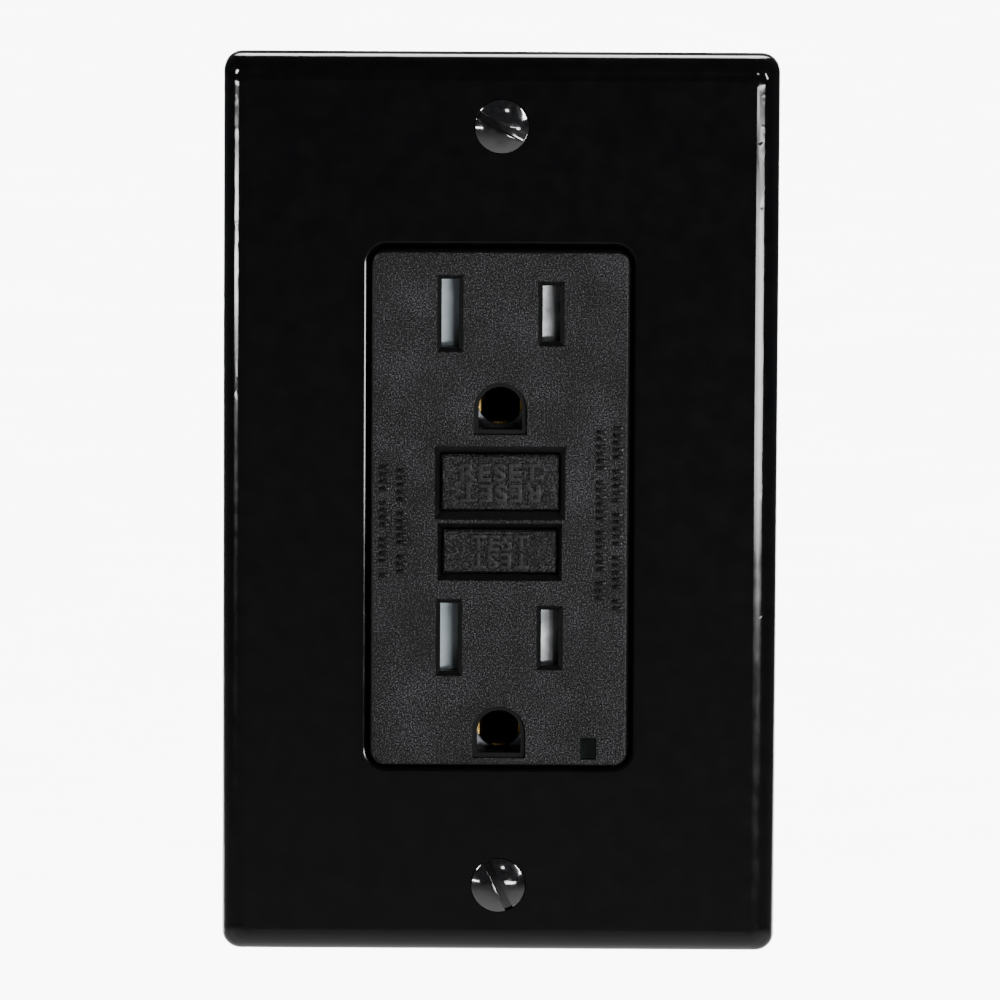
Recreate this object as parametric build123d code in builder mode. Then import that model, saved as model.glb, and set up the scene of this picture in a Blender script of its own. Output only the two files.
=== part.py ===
from build123d import *
import os

os.makedirs("parts", exist_ok=True)

# A duplex receptacle with ground-fault protection, in a one-gang decorator wall plate.
# Millimetres. X is to the right as seen from the room, Y runs into the wall, Z is up.
# The wall surface is Y = 0, and the origin is the middle of the receptacle on that surface.

# Standard one-gang sizes
PLATE_WIDTH = 69.85
PLATE_HEIGHT = 114.3
PLATE_SCREW_Z = 48.42
BOX_SCREW_Z = 41.67
BLADE_X = 6.35
GROUND_DROP = 11.9

# Wall plate
PLATE_FRONT = -5.6
PLATE_INSIDE = -3.3
PLATE_SIDE = -3.6
PLATE_BORDER = 1.7
PLATE_CORNER = 2.3
PLATE_RIM = 2.2
PLATE_RIDGE_ROUND = 2.7
PLATE_EDGE_ROUND = 2.8
OPENING_GAP = 0.25
OPENING_ROUND = 0.8

# Device body
FACE_WIDTH = 32.4
FACE_HEIGHT = 65.6
FACE_CORNER = 1.8
FACE_FRONT = -7.0
FACE_INSIDE = -4.8
FLANGE_FRONT = -2.9
BODY_WIDTH = 38.0
BODY_HEIGHT = 68.0
BODY_WALL = 1.6
BODY_JOIN = 7.0
BODY_REAR = 27.5

# Outlets: the height of each blade line, and the slots (width, height)
OUTLET_Z = (24.85, -16.45)
NEUTRAL_SLOT = (2.2, 8.7)
HOT_SLOT = (2.2, 7.1)
GROUND_RADIUS = 2.75
GROUND_FLAT = 2.71
LEAD_IN = 0.6

# Buttons: middle height, face size, and where the face stands
RESET_Z = 3.3
RESET_SIZE = (14.8, 7.1)
RESET_WINDOW = (16.5, 9.5)
TEST_Z = -5.5
TEST_SIZE = (14.4, 5.5)
TEST_WINDOW = (15.7, 7.4)
BUTTON_GAP = 0.15
BUTTON_FRONT = -6.5
WINDOW_SLOPE = 0.9
INDICATOR_X = 11.3
INDICATOR_Z = -30.6
INDICATOR_SIZE = (1.9, 2.7)

# Strap and middle housing
STRAP_FRONT = -1.3
STRAP_REAR = -0.05
STRAP_WAIST = 20.0
EAR_WIDTH = 35.0
EAR_TOP = 52.35
MIDDLE_FRONT = 0.3
MIDDLE_FLOOR = 9.2
MIDDLE_REAR = 10.7
ASSEMBLY_X = 15.2
ASSEMBLY_Z = 30.2
WELL_RADIUS = 2.75
WELL_END = 13.3

# Terminals: middle height, middle depth, and the niche they stand in
TERMINAL_Z = 21.1
TERMINAL_Y = 16.6
NICHE_FRONT = 10.9
NICHE_REAR = 22.3
NICHE_FLOOR_X = 13.2
NICHE_HALF = 6.7
NICHE_WALL = 1.8
TERMINAL_THICKNESS = 1.0
CLAMP_X = 17.0
CLAMP_THICKNESS = 1.2
WIRE_X = 15.6
WIRE_HOLE_RADIUS = 1.3
WIRE_HOLE_OFFSET = 4.2

# Trip mechanism
ARM_FRONT = 13.4
ARM_THICKNESS = 0.4
ARM_ROOT_Z = -12.2
CONTACT_Z = 3.0
CONTACT_PLANE = 12.7
LOAD_CONTACT_X = 8.4
FACE_CONTACT_X = 5.0
LATCH_Y = 16.6
PIN_RADIUS = 0.75
SOLENOID_Y = 17.3
BOARD_FRONT = 23.0
BOARD_THICKNESS = 1.6


def at_depth(depth):
    """A sketch plane parallel to the wall, seen from the room. Extruding from it comes towards the room."""
    return Plane.XZ.offset(-depth)


def block(x, y, z, mode=Mode.ADD):
    """A box between two limits on each axis."""
    middle = ((x[0] + x[1]) / 2, (y[0] + y[1]) / 2, (z[0] + z[1]) / 2)
    with Locations(middle):
        Box(x[1] - x[0], y[1] - y[0], z[1] - z[0], mode=mode)


def rod(radius, start, end, mode=Mode.ADD):
    """A round bar between two points that lie along one axis."""
    start, end = Vector(*start), Vector(*end)
    along = Plane(origin=(start + end) / 2, z_dir=end - start)
    with Locations(along.location):
        Cylinder(radius, (end - start).length, mode=mode)


def finish(builder, label):
    """Names a finished piece and writes it."""
    builder.part.label = label
    export_step(builder.part, f"parts/{label}.step")


# Wall plate: a hollow moulding with a sloped border, one rectangular opening and two screw bosses.
SCREW_HEAD_RADIUS = 3.4
PLATE_HOLE_RADIUS = 2.0
PLATE_BOSS_RADIUS = 3.2
PLATE_BOSS_REAR = -1.6
HOLLOW_BORDER = 3.8
HOLLOW_CORNER = 1.2
with BuildPart() as wall_plate:
    with BuildSketch(at_depth(0)):
        RectangleRounded(PLATE_WIDTH, PLATE_HEIGHT, PLATE_CORNER)
    extrude(amount=-PLATE_SIDE)
    with BuildSketch(at_depth(PLATE_SIDE)):
        RectangleRounded(PLATE_WIDTH, PLATE_HEIGHT, PLATE_CORNER)
    with BuildSketch(at_depth(PLATE_FRONT)):
        RectangleRounded(PLATE_WIDTH - 2 * PLATE_BORDER, PLATE_HEIGHT - 2 * PLATE_BORDER, PLATE_CORNER - 0.4)
    loft()
    fillet(wall_plate.faces().sort_by(Axis.Y)[0].edges(), radius=PLATE_RIDGE_ROUND)
    side_edges = wall_plate.edges().filter_by_position(Axis.Y, PLATE_SIDE - 0.01, PLATE_SIDE + 0.01)
    fillet(side_edges, radius=PLATE_EDGE_ROUND)
    with BuildSketch(at_depth(0)):
        RectangleRounded(PLATE_WIDTH - 2 * PLATE_RIM, PLATE_HEIGHT - 2 * PLATE_RIM, HOLLOW_CORNER)
    with BuildSketch(at_depth(PLATE_INSIDE)):
        RectangleRounded(PLATE_WIDTH - 2 * HOLLOW_BORDER, PLATE_HEIGHT - 2 * HOLLOW_BORDER, HOLLOW_CORNER)
    loft(mode=Mode.SUBTRACT)
    with BuildSketch(at_depth(PLATE_BOSS_REAR)):
        with GridLocations(0, 2 * PLATE_SCREW_Z, 1, 2):
            Circle(PLATE_BOSS_RADIUS)
    extrude(amount=PLATE_BOSS_REAR - PLATE_INSIDE)
    with BuildSketch(at_depth(0)):
        RectangleRounded(FACE_WIDTH + 2 * OPENING_GAP, FACE_HEIGHT + 2 * OPENING_GAP, FACE_CORNER + 0.4)
    extrude(amount=-PLATE_FRONT, mode=Mode.SUBTRACT)
    with Locations(at_depth(PLATE_FRONT).location):
        with GridLocations(0, 2 * PLATE_SCREW_Z, 1, 2):
            CounterSinkHole(PLATE_HOLE_RADIUS, SCREW_HEAD_RADIUS + 0.1, depth=8, counter_sink_angle=82)
    opening_edges = wall_plate.faces().sort_by(Axis.Y)[0].inner_wires().sort_by(Wire.length)[-1].edges()
    fillet(opening_edges, radius=OPENING_ROUND)
finish(wall_plate, "wall_plate")

# Plate screws: slotted oval heads in the plate's countersinks. Each slot points its own way.
PLATE_SCREW_SLOTS = ((PLATE_SCREW_Z, -26), (-PLATE_SCREW_Z, -65))
PLATE_SCREW_END = 8.0
PLATE_SCREW_RADIUS = 1.7
HEAD_RIM = 0.05
HEAD_RISE = 1.1
HEAD_SLOT_WIDTH = 1.05
with BuildPart() as plate_screws:
    for height, slot_turn in PLATE_SCREW_SLOTS:
        with BuildSketch(Plane.XY.offset(height)):
            with BuildLine():
                cone_depth = (SCREW_HEAD_RADIUS - PLATE_SCREW_RADIUS) / 0.87
                Polyline(
                    (0, PLATE_SCREW_END),
                    (PLATE_SCREW_RADIUS - 0.4, PLATE_SCREW_END),
                    (PLATE_SCREW_RADIUS, PLATE_SCREW_END - 0.6),
                    (PLATE_SCREW_RADIUS, PLATE_FRONT + cone_depth),
                    (SCREW_HEAD_RADIUS, PLATE_FRONT + HEAD_RIM),
                    (SCREW_HEAD_RADIUS, PLATE_FRONT - HEAD_RIM),
                )
                ThreePointArc(
                    (SCREW_HEAD_RADIUS, PLATE_FRONT - HEAD_RIM),
                    (SCREW_HEAD_RADIUS * 0.55, PLATE_FRONT - HEAD_RISE * 0.77),
                    (0, PLATE_FRONT - HEAD_RISE),
                )
                Line((0, PLATE_FRONT - HEAD_RISE), (0, PLATE_SCREW_END))
            make_face()
        revolve(axis=Axis((0, 0, height), (0, 1, 0)))
        with BuildSketch(at_depth(PLATE_FRONT + 0.3)):
            with Locations((0, height)):
                Rectangle(2 * SCREW_HEAD_RADIUS + 1, HEAD_SLOT_WIDTH, rotation=slot_turn)
        extrude(amount=2, mode=Mode.SUBTRACT)
finish(plate_screws, "plate_screws")

# Front cover: the face that stands through the plate, a flange behind the plate, and a skirt
# that meets the back housing.
SKIRT_INSIDE_X = BODY_WIDTH / 2 - BODY_WALL
SKIRT_INSIDE_Z = BODY_HEIGHT / 2 - BODY_WALL
FACE_INSIDE_X = FACE_WIDTH / 2 - BODY_WALL
FACE_INSIDE_Z = FACE_HEIGHT / 2 - BODY_WALL
STRAP_NOTCH = STRAP_WAIST / 2 + 0.2
BOSS_RADIUS = 2.2
BOSS_REAR = 0.2
with BuildPart() as front_cover:
    with BuildSketch(at_depth(BODY_JOIN)):
        RectangleRounded(BODY_WIDTH, BODY_HEIGHT, 1.5)
    extrude(amount=BODY_JOIN - FLANGE_FRONT)
    with BuildSketch(at_depth(FLANGE_FRONT)):
        RectangleRounded(FACE_WIDTH, FACE_HEIGHT, FACE_CORNER)
    extrude(amount=FLANGE_FRONT - FACE_FRONT)
    fillet(front_cover.faces().sort_by(Axis.Y)[0].edges(), radius=0.45)
    block((-FACE_INSIDE_X, FACE_INSIDE_X), (FACE_INSIDE, 0), (-FACE_INSIDE_Z, FACE_INSIDE_Z), Mode.SUBTRACT)
    inside_front = STRAP_FRONT - 0.05
    block(
        (-SKIRT_INSIDE_X, SKIRT_INSIDE_X),
        (inside_front, BODY_JOIN),
        (-SKIRT_INSIDE_Z, SKIRT_INSIDE_Z),
        Mode.SUBTRACT,
    )
    block((-STRAP_NOTCH, STRAP_NOTCH), (inside_front, BODY_JOIN), (-40, 40), Mode.SUBTRACT)
    # Bosses that take the assembly screws
    with BuildSketch(at_depth(BOSS_REAR)):
        with GridLocations(2 * ASSEMBLY_X, 2 * ASSEMBLY_Z, 2, 2):
            Circle(BOSS_RADIUS)
    extrude(amount=2.5)
    with BuildSketch(at_depth(BOSS_REAR)):
        with GridLocations(2 * ASSEMBLY_X, 2 * ASSEMBLY_Z, 2, 2):
            Circle(1.25)
    extrude(amount=2.8, mode=Mode.SUBTRACT)
    # Blade slots and ground holes, each with a sloped lead-in
    for outlet_z in OUTLET_Z:
        for side, slot in ((-1, NEUTRAL_SLOT), (1, HOT_SLOT)):
            with BuildSketch(at_depth(FACE_FRONT)):
                with Locations((side * BLADE_X, outlet_z)):
                    Rectangle(slot[0] + 2 * LEAD_IN, slot[1] + 2 * LEAD_IN)
            extrude(amount=-LEAD_IN, taper=45, mode=Mode.SUBTRACT)
            with BuildSketch(at_depth(FACE_INSIDE)):
                with Locations((side * BLADE_X, outlet_z)):
                    Rectangle(*slot)
            extrude(amount=FACE_INSIDE - FACE_FRONT, mode=Mode.SUBTRACT)
        for grow, depth in ((LEAD_IN, FACE_FRONT + LEAD_IN), (0, FACE_INSIDE)):
            with BuildSketch(at_depth(depth)):
                with Locations((0, outlet_z - GROUND_DROP - 0.2)):
                    Circle(GROUND_RADIUS + grow)
                with Locations((0, outlet_z - GROUND_DROP - 0.2 - (GROUND_FLAT + grow) / 2)):
                    Rectangle(2 * (GROUND_RADIUS + grow), GROUND_FLAT + grow)
                with Locations((0, outlet_z - GROUND_DROP - 0.2 - GROUND_FLAT - grow - 2)):
                    Rectangle(12, 4, mode=Mode.SUBTRACT)
            extrude(amount=depth - FACE_FRONT, mode=Mode.SUBTRACT)
    # Button windows with sloped sides
    for middle_z, size, window in ((RESET_Z, RESET_SIZE, RESET_WINDOW), (TEST_Z, TEST_SIZE, TEST_WINDOW)):
        with BuildSketch(at_depth(FACE_FRONT)):
            with Locations((0, middle_z)):
                Rectangle(*window)
        with BuildSketch(at_depth(FACE_FRONT + WINDOW_SLOPE)):
            with Locations((0, middle_z)):
                Rectangle(size[0] + 2 * BUTTON_GAP, size[1] + 2 * BUTTON_GAP)
        loft(mode=Mode.SUBTRACT)
        with BuildSketch(at_depth(FACE_INSIDE)):
            with Locations((0, middle_z)):
                Rectangle(size[0] + 2 * BUTTON_GAP, size[1] + 2 * BUTTON_GAP)
        extrude(amount=FACE_INSIDE - FACE_FRONT, mode=Mode.SUBTRACT)
    with BuildSketch(at_depth(0)):
        with Locations((INDICATOR_X, INDICATOR_Z)):
            Rectangle(INDICATOR_SIZE[0] + 0.1, INDICATOR_SIZE[1] + 0.1)
    extrude(amount=-FACE_FRONT, mode=Mode.SUBTRACT)
finish(front_cover, "front_cover")

# Buttons: a cap in the window, a flange that stops it from falling out, and a stem behind.
FLANGE_OVERLAP = 0.4
FLANGE_START = FACE_INSIDE + 0.15
FLANGE_END = -3.6
RESET_STEM_END = 1.0
SPRING_POCKET = -1.0
with BuildPart() as reset_button:
    with BuildSketch(at_depth(FLANGE_END)):
        with Locations((0, RESET_Z)):
            Rectangle(*RESET_SIZE)
    extrude(amount=FLANGE_END - BUTTON_FRONT)
    chamfer(reset_button.faces().sort_by(Axis.Y)[0].edges(), length=0.25)
    flange_half_x = RESET_SIZE[0] / 2 + BUTTON_GAP + FLANGE_OVERLAP
    flange_half_z = RESET_SIZE[1] / 2 + BUTTON_GAP + FLANGE_OVERLAP
    block(
        (-flange_half_x, flange_half_x),
        (FLANGE_START, FLANGE_END),
        (RESET_Z - flange_half_z, RESET_Z + flange_half_z),
    )
    rod(3.2, (0, FLANGE_END, RESET_Z), (0, RESET_STEM_END, RESET_Z))
    rod(2.5, (0, SPRING_POCKET, RESET_Z), (0, RESET_STEM_END, RESET_Z), Mode.SUBTRACT)
    rod(PIN_RADIUS, (0, -3.0, RESET_Z), (0, SPRING_POCKET, RESET_Z), Mode.SUBTRACT)
finish(reset_button, "reset_button")

TEST_STEM_END = -0.2
with BuildPart() as test_button:
    with BuildSketch(at_depth(FLANGE_END)):
        with Locations((0, TEST_Z)):
            Rectangle(*TEST_SIZE)
    extrude(amount=FLANGE_END - BUTTON_FRONT)
    chamfer(test_button.faces().sort_by(Axis.Y)[0].edges(), length=0.25)
    flange_half_x = TEST_SIZE[0] / 2 + BUTTON_GAP + FLANGE_OVERLAP
    flange_half_z = TEST_SIZE[1] / 2 + BUTTON_GAP + FLANGE_OVERLAP
    block(
        (-flange_half_x, flange_half_x),
        (FLANGE_START, FLANGE_END),
        (TEST_Z - flange_half_z, TEST_Z + flange_half_z),
    )
    block((-2, 2), (FLANGE_END, TEST_STEM_END), (TEST_Z - 1, TEST_Z + 1))
finish(test_button, "test_button")

# Reset pin: a steel wire pin pressed into the button. Its cone catches behind the latch plate.
CONE_START = 17.1
CONE_END = 18.4
with BuildPart() as reset_pin:
    with BuildSketch(Plane.XY.offset(RESET_Z)):
        with BuildLine():
            Polyline(
                (0, -3.0),
                (PIN_RADIUS, -3.0),
                (PIN_RADIUS, CONE_START),
                (1.4, CONE_END),
                (0.5, 19.5),
                (0, 19.5),
                (0, -3.0),
            )
        make_face()
    revolve(axis=Axis((0, 0, RESET_Z), (0, 1, 0)))
finish(reset_pin, "reset_pin")

# Springs: round wire wound as a helix.
RESET_SEAT = 8.0
SPRINGS = {
    # name: (start, direction, length, coil radius, wire radius, turns)
    "reset_spring": ((0, -0.6, RESET_Z), (0, 1, 0), 8.2, 1.85, 0.25, 7),
    "upper_shutter_spring": ((-13.3, -3.7, OUTLET_Z[0]), (1, 0, 0), 4.7, 0.6, 0.1, 9),
    "lower_shutter_spring": ((-13.3, -3.7, OUTLET_Z[1]), (1, 0, 0), 4.7, 0.6, 0.1, 9),
    "latch_spring": ((0, LATCH_Y, -6.4), (0, 0, 1), 3.2, 0.9, 0.12, 6),
    "plunger_spring": ((0, SOLENOID_Y, 28.8), (0, 0, 1), 1.6, 2.45, 0.14, 3),
}
for spring_name, (start, direction, length, coil_radius, wire_radius, turns) in SPRINGS.items():
    with BuildPart() as spring:
        with BuildLine() as coil:
            Helix(pitch=length / turns, height=length, radius=coil_radius, center=start, direction=direction)
        with BuildSketch(Plane(origin=coil.line @ 0, z_dir=coil.line % 0)):
            Circle(wire_radius)
        sweep()
    finish(spring, spring_name)

# Test leaf: a bent strip that returns the test button and carries the test contact.
with BuildPart() as test_leaf_spring:
    block((-3.2, 3.2), (4.2, 4.6), (TEST_Z - 2.6, TEST_Z + 2.6))
    with BuildSketch(Plane.YZ.offset(-1.2)):
        with BuildLine():
            Polyline(
                (4.3, TEST_Z - 2.6),
                (0.1, TEST_Z + 0.6),
                (0.1, TEST_Z + 1.1),
                (4.3, TEST_Z - 2.1),
                (4.3, TEST_Z - 2.6),
            )
        make_face()
    extrude(amount=2.4)
finish(test_leaf_spring, "test_leaf_spring")

# Indicator: a clear light pipe from the face to a lamp on the circuit board.
LAMP_FRONT = 19.6
with BuildPart() as light_pipe:
    block(
        (INDICATOR_X - INDICATOR_SIZE[0] / 2, INDICATOR_X + INDICATOR_SIZE[0] / 2),
        (FACE_FRONT + 0.55, LAMP_FRONT - 0.3),
        (INDICATOR_Z - INDICATOR_SIZE[1] / 2, INDICATOR_Z + INDICATOR_SIZE[1] / 2),
    )
finish(light_pipe, "light_pipe")

with BuildPart() as status_led:
    rod(1.45, (INDICATOR_X, LAMP_FRONT + 0.6, INDICATOR_Z), (INDICATOR_X, 22.2, INDICATOR_Z))
    with Locations((INDICATOR_X, LAMP_FRONT + 1.45, INDICATOR_Z)):
        Sphere(1.45)
    rod(1.6, (INDICATOR_X, 22.2, INDICATOR_Z), (INDICATOR_X, BOARD_FRONT - 0.05, INDICATOR_Z))
finish(status_led, "status_led")

# Shutters: a tray behind each pair of slots, and in it a sprung slide with two ramps.
TRAY_FLOOR = -2.4
TRAY_REAR = -1.5
TRAY_LEFT = -14.4
TRAY_RIGHT = 12.7
TRAY_HALF = 5.9
TRAY_RIM = 0.8
with BuildPart() as shutter_trays:
    for outlet_z in OUTLET_Z:
        tray_z = (outlet_z - TRAY_HALF, outlet_z + TRAY_HALF)
        block((TRAY_LEFT, TRAY_RIGHT), (FACE_INSIDE + 0.05, TRAY_REAR), tray_z)
        block(
            (TRAY_LEFT + TRAY_RIM, TRAY_RIGHT - TRAY_RIM),
            (FACE_INSIDE, TRAY_FLOOR),
            (outlet_z - TRAY_HALF + TRAY_RIM, outlet_z + TRAY_HALF - TRAY_RIM),
            Mode.SUBTRACT,
        )
        for side in (-1, 1):
            block(
                (side * BLADE_X - 1.5, side * BLADE_X + 1.5),
                (FACE_INSIDE, 0),
                (outlet_z - 4.8, outlet_z + 4.8),
                Mode.SUBTRACT,
            )
    for side in (-1, 1):
        corner = (side * ASSEMBLY_X, FACE_INSIDE, ASSEMBLY_Z)
        rod(BOSS_RADIUS + 0.2, corner, (corner[0], 0, corner[2]), Mode.SUBTRACT)
finish(shutter_trays, "shutter_trays")

# The slides. A blade pressing on a ramp drives the slide to the left until its windows line up.
SLIDE_HALF = TRAY_HALF - TRAY_RIM - 0.2
SLIDE_FRONT = FACE_INSIDE + 0.15
SLIDE_REAR = TRAY_FLOOR - 0.1
SHUTTER_TRAVEL = 3.0
RAMP_LOW = SLIDE_REAR - 0.6
FACING_THICKNESS = 0.2
for level, outlet_z in zip(("upper", "lower"), OUTLET_Z):
    with BuildPart() as shutter:
        with BuildSketch(Plane.XY.offset(outlet_z - SLIDE_HALF)):
            with BuildLine():
                Polyline(
                    (-8.4, SLIDE_REAR),
                    (-8.4, SLIDE_FRONT),
                    (-7.7, SLIDE_FRONT),
                    (-4.9, RAMP_LOW),
                    (-2.0, RAMP_LOW),
                    (-2.0, SLIDE_FRONT),
                    (3.6, SLIDE_FRONT),
                    (3.6, SLIDE_FRONT + FACING_THICKNESS + 0.02),
                    (5.0, SLIDE_FRONT + FACING_THICKNESS + 0.02),
                    (7.8, RAMP_LOW),
                    (11.6, RAMP_LOW),
                    (11.6, SLIDE_REAR),
                    (-8.4, SLIDE_REAR),
                )
            make_face()
        extrude(amount=2 * SLIDE_HALF)
        for side in (-1, 1):
            window_x = side * BLADE_X + SHUTTER_TRAVEL
            block(
                (window_x - 1.15, window_x + 1.15),
                (SLIDE_FRONT, SLIDE_REAR + 1),
                (outlet_z - SLIDE_HALF + 0.5, outlet_z + SLIDE_HALF - 0.5),
                Mode.SUBTRACT,
            )
    finish(shutter, f"{level}_shutter")
    # A steel strip over the ramp on the hot side takes the wear of the blades.
    with BuildPart() as facing:
        with BuildSketch(Plane.XY.offset(outlet_z - SLIDE_HALF + 0.3)):
            with BuildLine():
                Polyline(
                    (3.7, SLIDE_FRONT),
                    (5.05, SLIDE_FRONT),
                    (7.85, RAMP_LOW - FACING_THICKNESS),
                    (8.1, RAMP_LOW - FACING_THICKNESS),
                    (8.1, RAMP_LOW),
                    (7.82, RAMP_LOW),
                    (5.02, SLIDE_FRONT + FACING_THICKNESS),
                    (3.7, SLIDE_FRONT + FACING_THICKNESS),
                    (3.7, SLIDE_FRONT),
                )
            make_face()
        extrude(amount=2 * SLIDE_HALF - 0.6)
    finish(facing, f"{level}_shutter_facing")

# Mounting strap: one steel stamping with plaster ears, slots for the box screws, tapped holes for
# the plate screws, and a bent tab for the ground screw.
EAR_BOTTOM = 35.2
SLOT_HALF = 1.7
GROUND_SCREW_Y = 5.5
GROUND_SCREW_Z = -40.0
RIVET_X = 4.4
RIVET_RISE = 2.4
RIVET_RADIUS = 0.8
with BuildPart() as mounting_strap:
    with BuildSketch(at_depth(STRAP_REAR)):
        Rectangle(STRAP_WAIST, 2 * EAR_TOP - 4)
        for end in (-1, 1):
            with Locations((0, end * (EAR_BOTTOM + EAR_TOP) / 2)):
                RectangleRounded(EAR_WIDTH, EAR_TOP - EAR_BOTTOM, 3.5)
        for end in (-1, 1):
            with Locations((0, end * BOX_SCREW_Z)):
                SlotCenterToCenter(2 * SLOT_HALF, 4.0, mode=Mode.SUBTRACT)
            with Locations((0, end * PLATE_SCREW_Z)):
                Circle(1.76, mode=Mode.SUBTRACT)
            # Grooves that let a corner of an ear be snapped off
            with GridLocations(24, 0, 2, 1):
                with Locations((0, end * 43.6)):
                    Rectangle(1.0, 9.0, mode=Mode.SUBTRACT)
        # Windows for the buttons, the blades and the ground pins
        with Locations((0, (RESET_Z + TEST_Z) / 2 + 0.2)):
            Rectangle(17.4, 17.0, mode=Mode.SUBTRACT)
        for outlet_z in OUTLET_Z:
            with Locations((-BLADE_X, outlet_z), (BLADE_X, outlet_z)):
                Rectangle(3.6, 10.6, mode=Mode.SUBTRACT)
            with Locations((0, outlet_z - GROUND_DROP - 0.2)):
                Circle(2.9, mode=Mode.SUBTRACT)
            with Locations((0, outlet_z - GROUND_DROP + RIVET_RISE)):
                with GridLocations(2 * RIVET_X, 0, 2, 1):
                    Circle(RIVET_RADIUS + 0.05, mode=Mode.SUBTRACT)
    extrude(amount=STRAP_REAR - STRAP_FRONT)
    block((EAR_WIDTH / 2 - 1.3, EAR_WIDTH / 2), (-1.2, 10), (-44, -36.2))
    rod(
        1.97,
        (EAR_WIDTH / 2 - 2, GROUND_SCREW_Y, GROUND_SCREW_Z),
        (EAR_WIDTH / 2 + 1, GROUND_SCREW_Y, GROUND_SCREW_Z),
        Mode.SUBTRACT,
    )
finish(mounting_strap, "mounting_strap")

# Ground contacts: a brass plate behind the strap with two leaves that grip the pin.
LEAF_END = 8.4
CONTACT_PLATE_REAR = 0.85
with BuildPart() as ground_contacts:
    for outlet_z in OUTLET_Z:
        pin_z = outlet_z - GROUND_DROP - 0.2
        with BuildSketch(at_depth(CONTACT_PLATE_REAR)):
            with Locations((0, pin_z + 0.8)):
                RectangleRounded(12.4, 8.0, 1.0)
            with Locations((0, pin_z)):
                Rectangle(4.9, 5.4, mode=Mode.SUBTRACT)
            with Locations((0, outlet_z - GROUND_DROP + RIVET_RISE)):
                with GridLocations(2 * RIVET_X, 0, 2, 1):
                    Circle(RIVET_RADIUS + 0.05, mode=Mode.SUBTRACT)
        extrude(amount=CONTACT_PLATE_REAR - 0.05)
        with BuildSketch(Plane.XY.offset(pin_z - 2.2)):
            with BuildLine():
                Polyline(
                    (2.45, 0.05),
                    (1.85, 6.4),
                    (2.4, LEAF_END),
                    (2.8, LEAF_END),
                    (2.3, 6.4),
                    (2.9, 0.6),
                    (2.9, 0.05),
                    (2.45, 0.05),
                )
            make_face()
            mirror(about=Plane.YZ)
        extrude(amount=4.4)
finish(ground_contacts, "ground_contacts")

with BuildPart() as contact_rivets:
    for outlet_z in OUTLET_Z:
        rivet_z = outlet_z - GROUND_DROP + RIVET_RISE
        for rivet_x in (-RIVET_X, RIVET_X):
            rod(RIVET_RADIUS, (rivet_x, STRAP_FRONT, rivet_z), (rivet_x, CONTACT_PLATE_REAR, rivet_z))
            rod(1.3, (rivet_x, CONTACT_PLATE_REAR, rivet_z), (rivet_x, CONTACT_PLATE_REAR + 0.4, rivet_z))
finish(contact_rivets, "contact_rivets")

# Slotted screws along X: the green ground screw and the four terminal screws share one shape.
GROUND_HEAD_X = 19.6


def screw_outline(tip, head_start, head_end, shank_radius, head_radius):
    """Half the section of a round-head screw, from its axis outwards, with the tip to the left."""
    return (
        (tip, 0),
        (tip, shank_radius - 0.4),
        (tip + 0.4, shank_radius),
        (head_start, shank_radius),
        (head_start, head_radius),
        (head_end - 0.8, head_radius),
        (head_end - 0.25, head_radius * 0.87),
        (head_end, head_radius * 0.6),
        (head_end, 0),
    )


with BuildPart() as ground_screw:
    with BuildSketch(Plane(origin=(0, GROUND_SCREW_Y, GROUND_SCREW_Z))):
        with BuildLine():
            outline = screw_outline(EAR_WIDTH / 2 - 3.5, GROUND_HEAD_X, GROUND_HEAD_X + 2.4, 1.93, 3.8)
            Polyline(*outline, close=True)
        make_face()
    revolve(axis=Axis((0, GROUND_SCREW_Y, GROUND_SCREW_Z), (1, 0, 0)))
    block(
        (GROUND_HEAD_X + 1.3, GROUND_HEAD_X + 3),
        (GROUND_SCREW_Y - 4, GROUND_SCREW_Y + 4),
        (GROUND_SCREW_Z - 0.55, GROUND_SCREW_Z + 0.55),
        Mode.SUBTRACT,
    )
finish(ground_screw, "ground_screw")

# Box screws, captive in the strap's slots, and the fibre squares that hold them there.
BOX_SCREW_RADIUS = 1.75
BOX_SCREW_NECK = 1.5
BOX_SCREW_END = 30.4
BOX_THREAD_START = 1.0
BOX_HEAD_RADIUS = 3.3
BOX_HEAD_REAR = STRAP_FRONT - 0.05
with BuildPart() as box_screws:
    for end in (-1, 1):
        height = end * BOX_SCREW_Z
        with BuildSketch(Plane.XY.offset(height)):
            with BuildLine():
                Polyline(
                    (0, BOX_SCREW_END),
                    (BOX_SCREW_RADIUS - 0.85, BOX_SCREW_END),
                    (BOX_SCREW_RADIUS, BOX_SCREW_END - 1.4),
                    (BOX_SCREW_RADIUS, BOX_THREAD_START),
                    (BOX_SCREW_NECK, BOX_THREAD_START),
                    (BOX_SCREW_NECK, BOX_HEAD_REAR),
                    (BOX_HEAD_RADIUS, BOX_HEAD_REAR),
                    (BOX_HEAD_RADIUS, BOX_HEAD_REAR - 0.55),
                )
                ThreePointArc(
                    (BOX_HEAD_RADIUS, BOX_HEAD_REAR - 0.55),
                    (BOX_HEAD_RADIUS - 0.9, BOX_HEAD_REAR - 1.45),
                    (BOX_HEAD_RADIUS - 2.5, BOX_HEAD_REAR - 1.7),
                )
                Polyline(
                    (BOX_HEAD_RADIUS - 2.5, BOX_HEAD_REAR - 1.7),
                    (0, BOX_HEAD_REAR - 1.7),
                    (0, BOX_SCREW_END),
                )
            make_face()
        revolve(axis=Axis((0, 0, height), (0, 1, 0)))
        block((-4, 4), (-4, -2.3), (height - 0.5, height + 0.5), Mode.SUBTRACT)
finish(box_screws, "box_screws")

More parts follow.
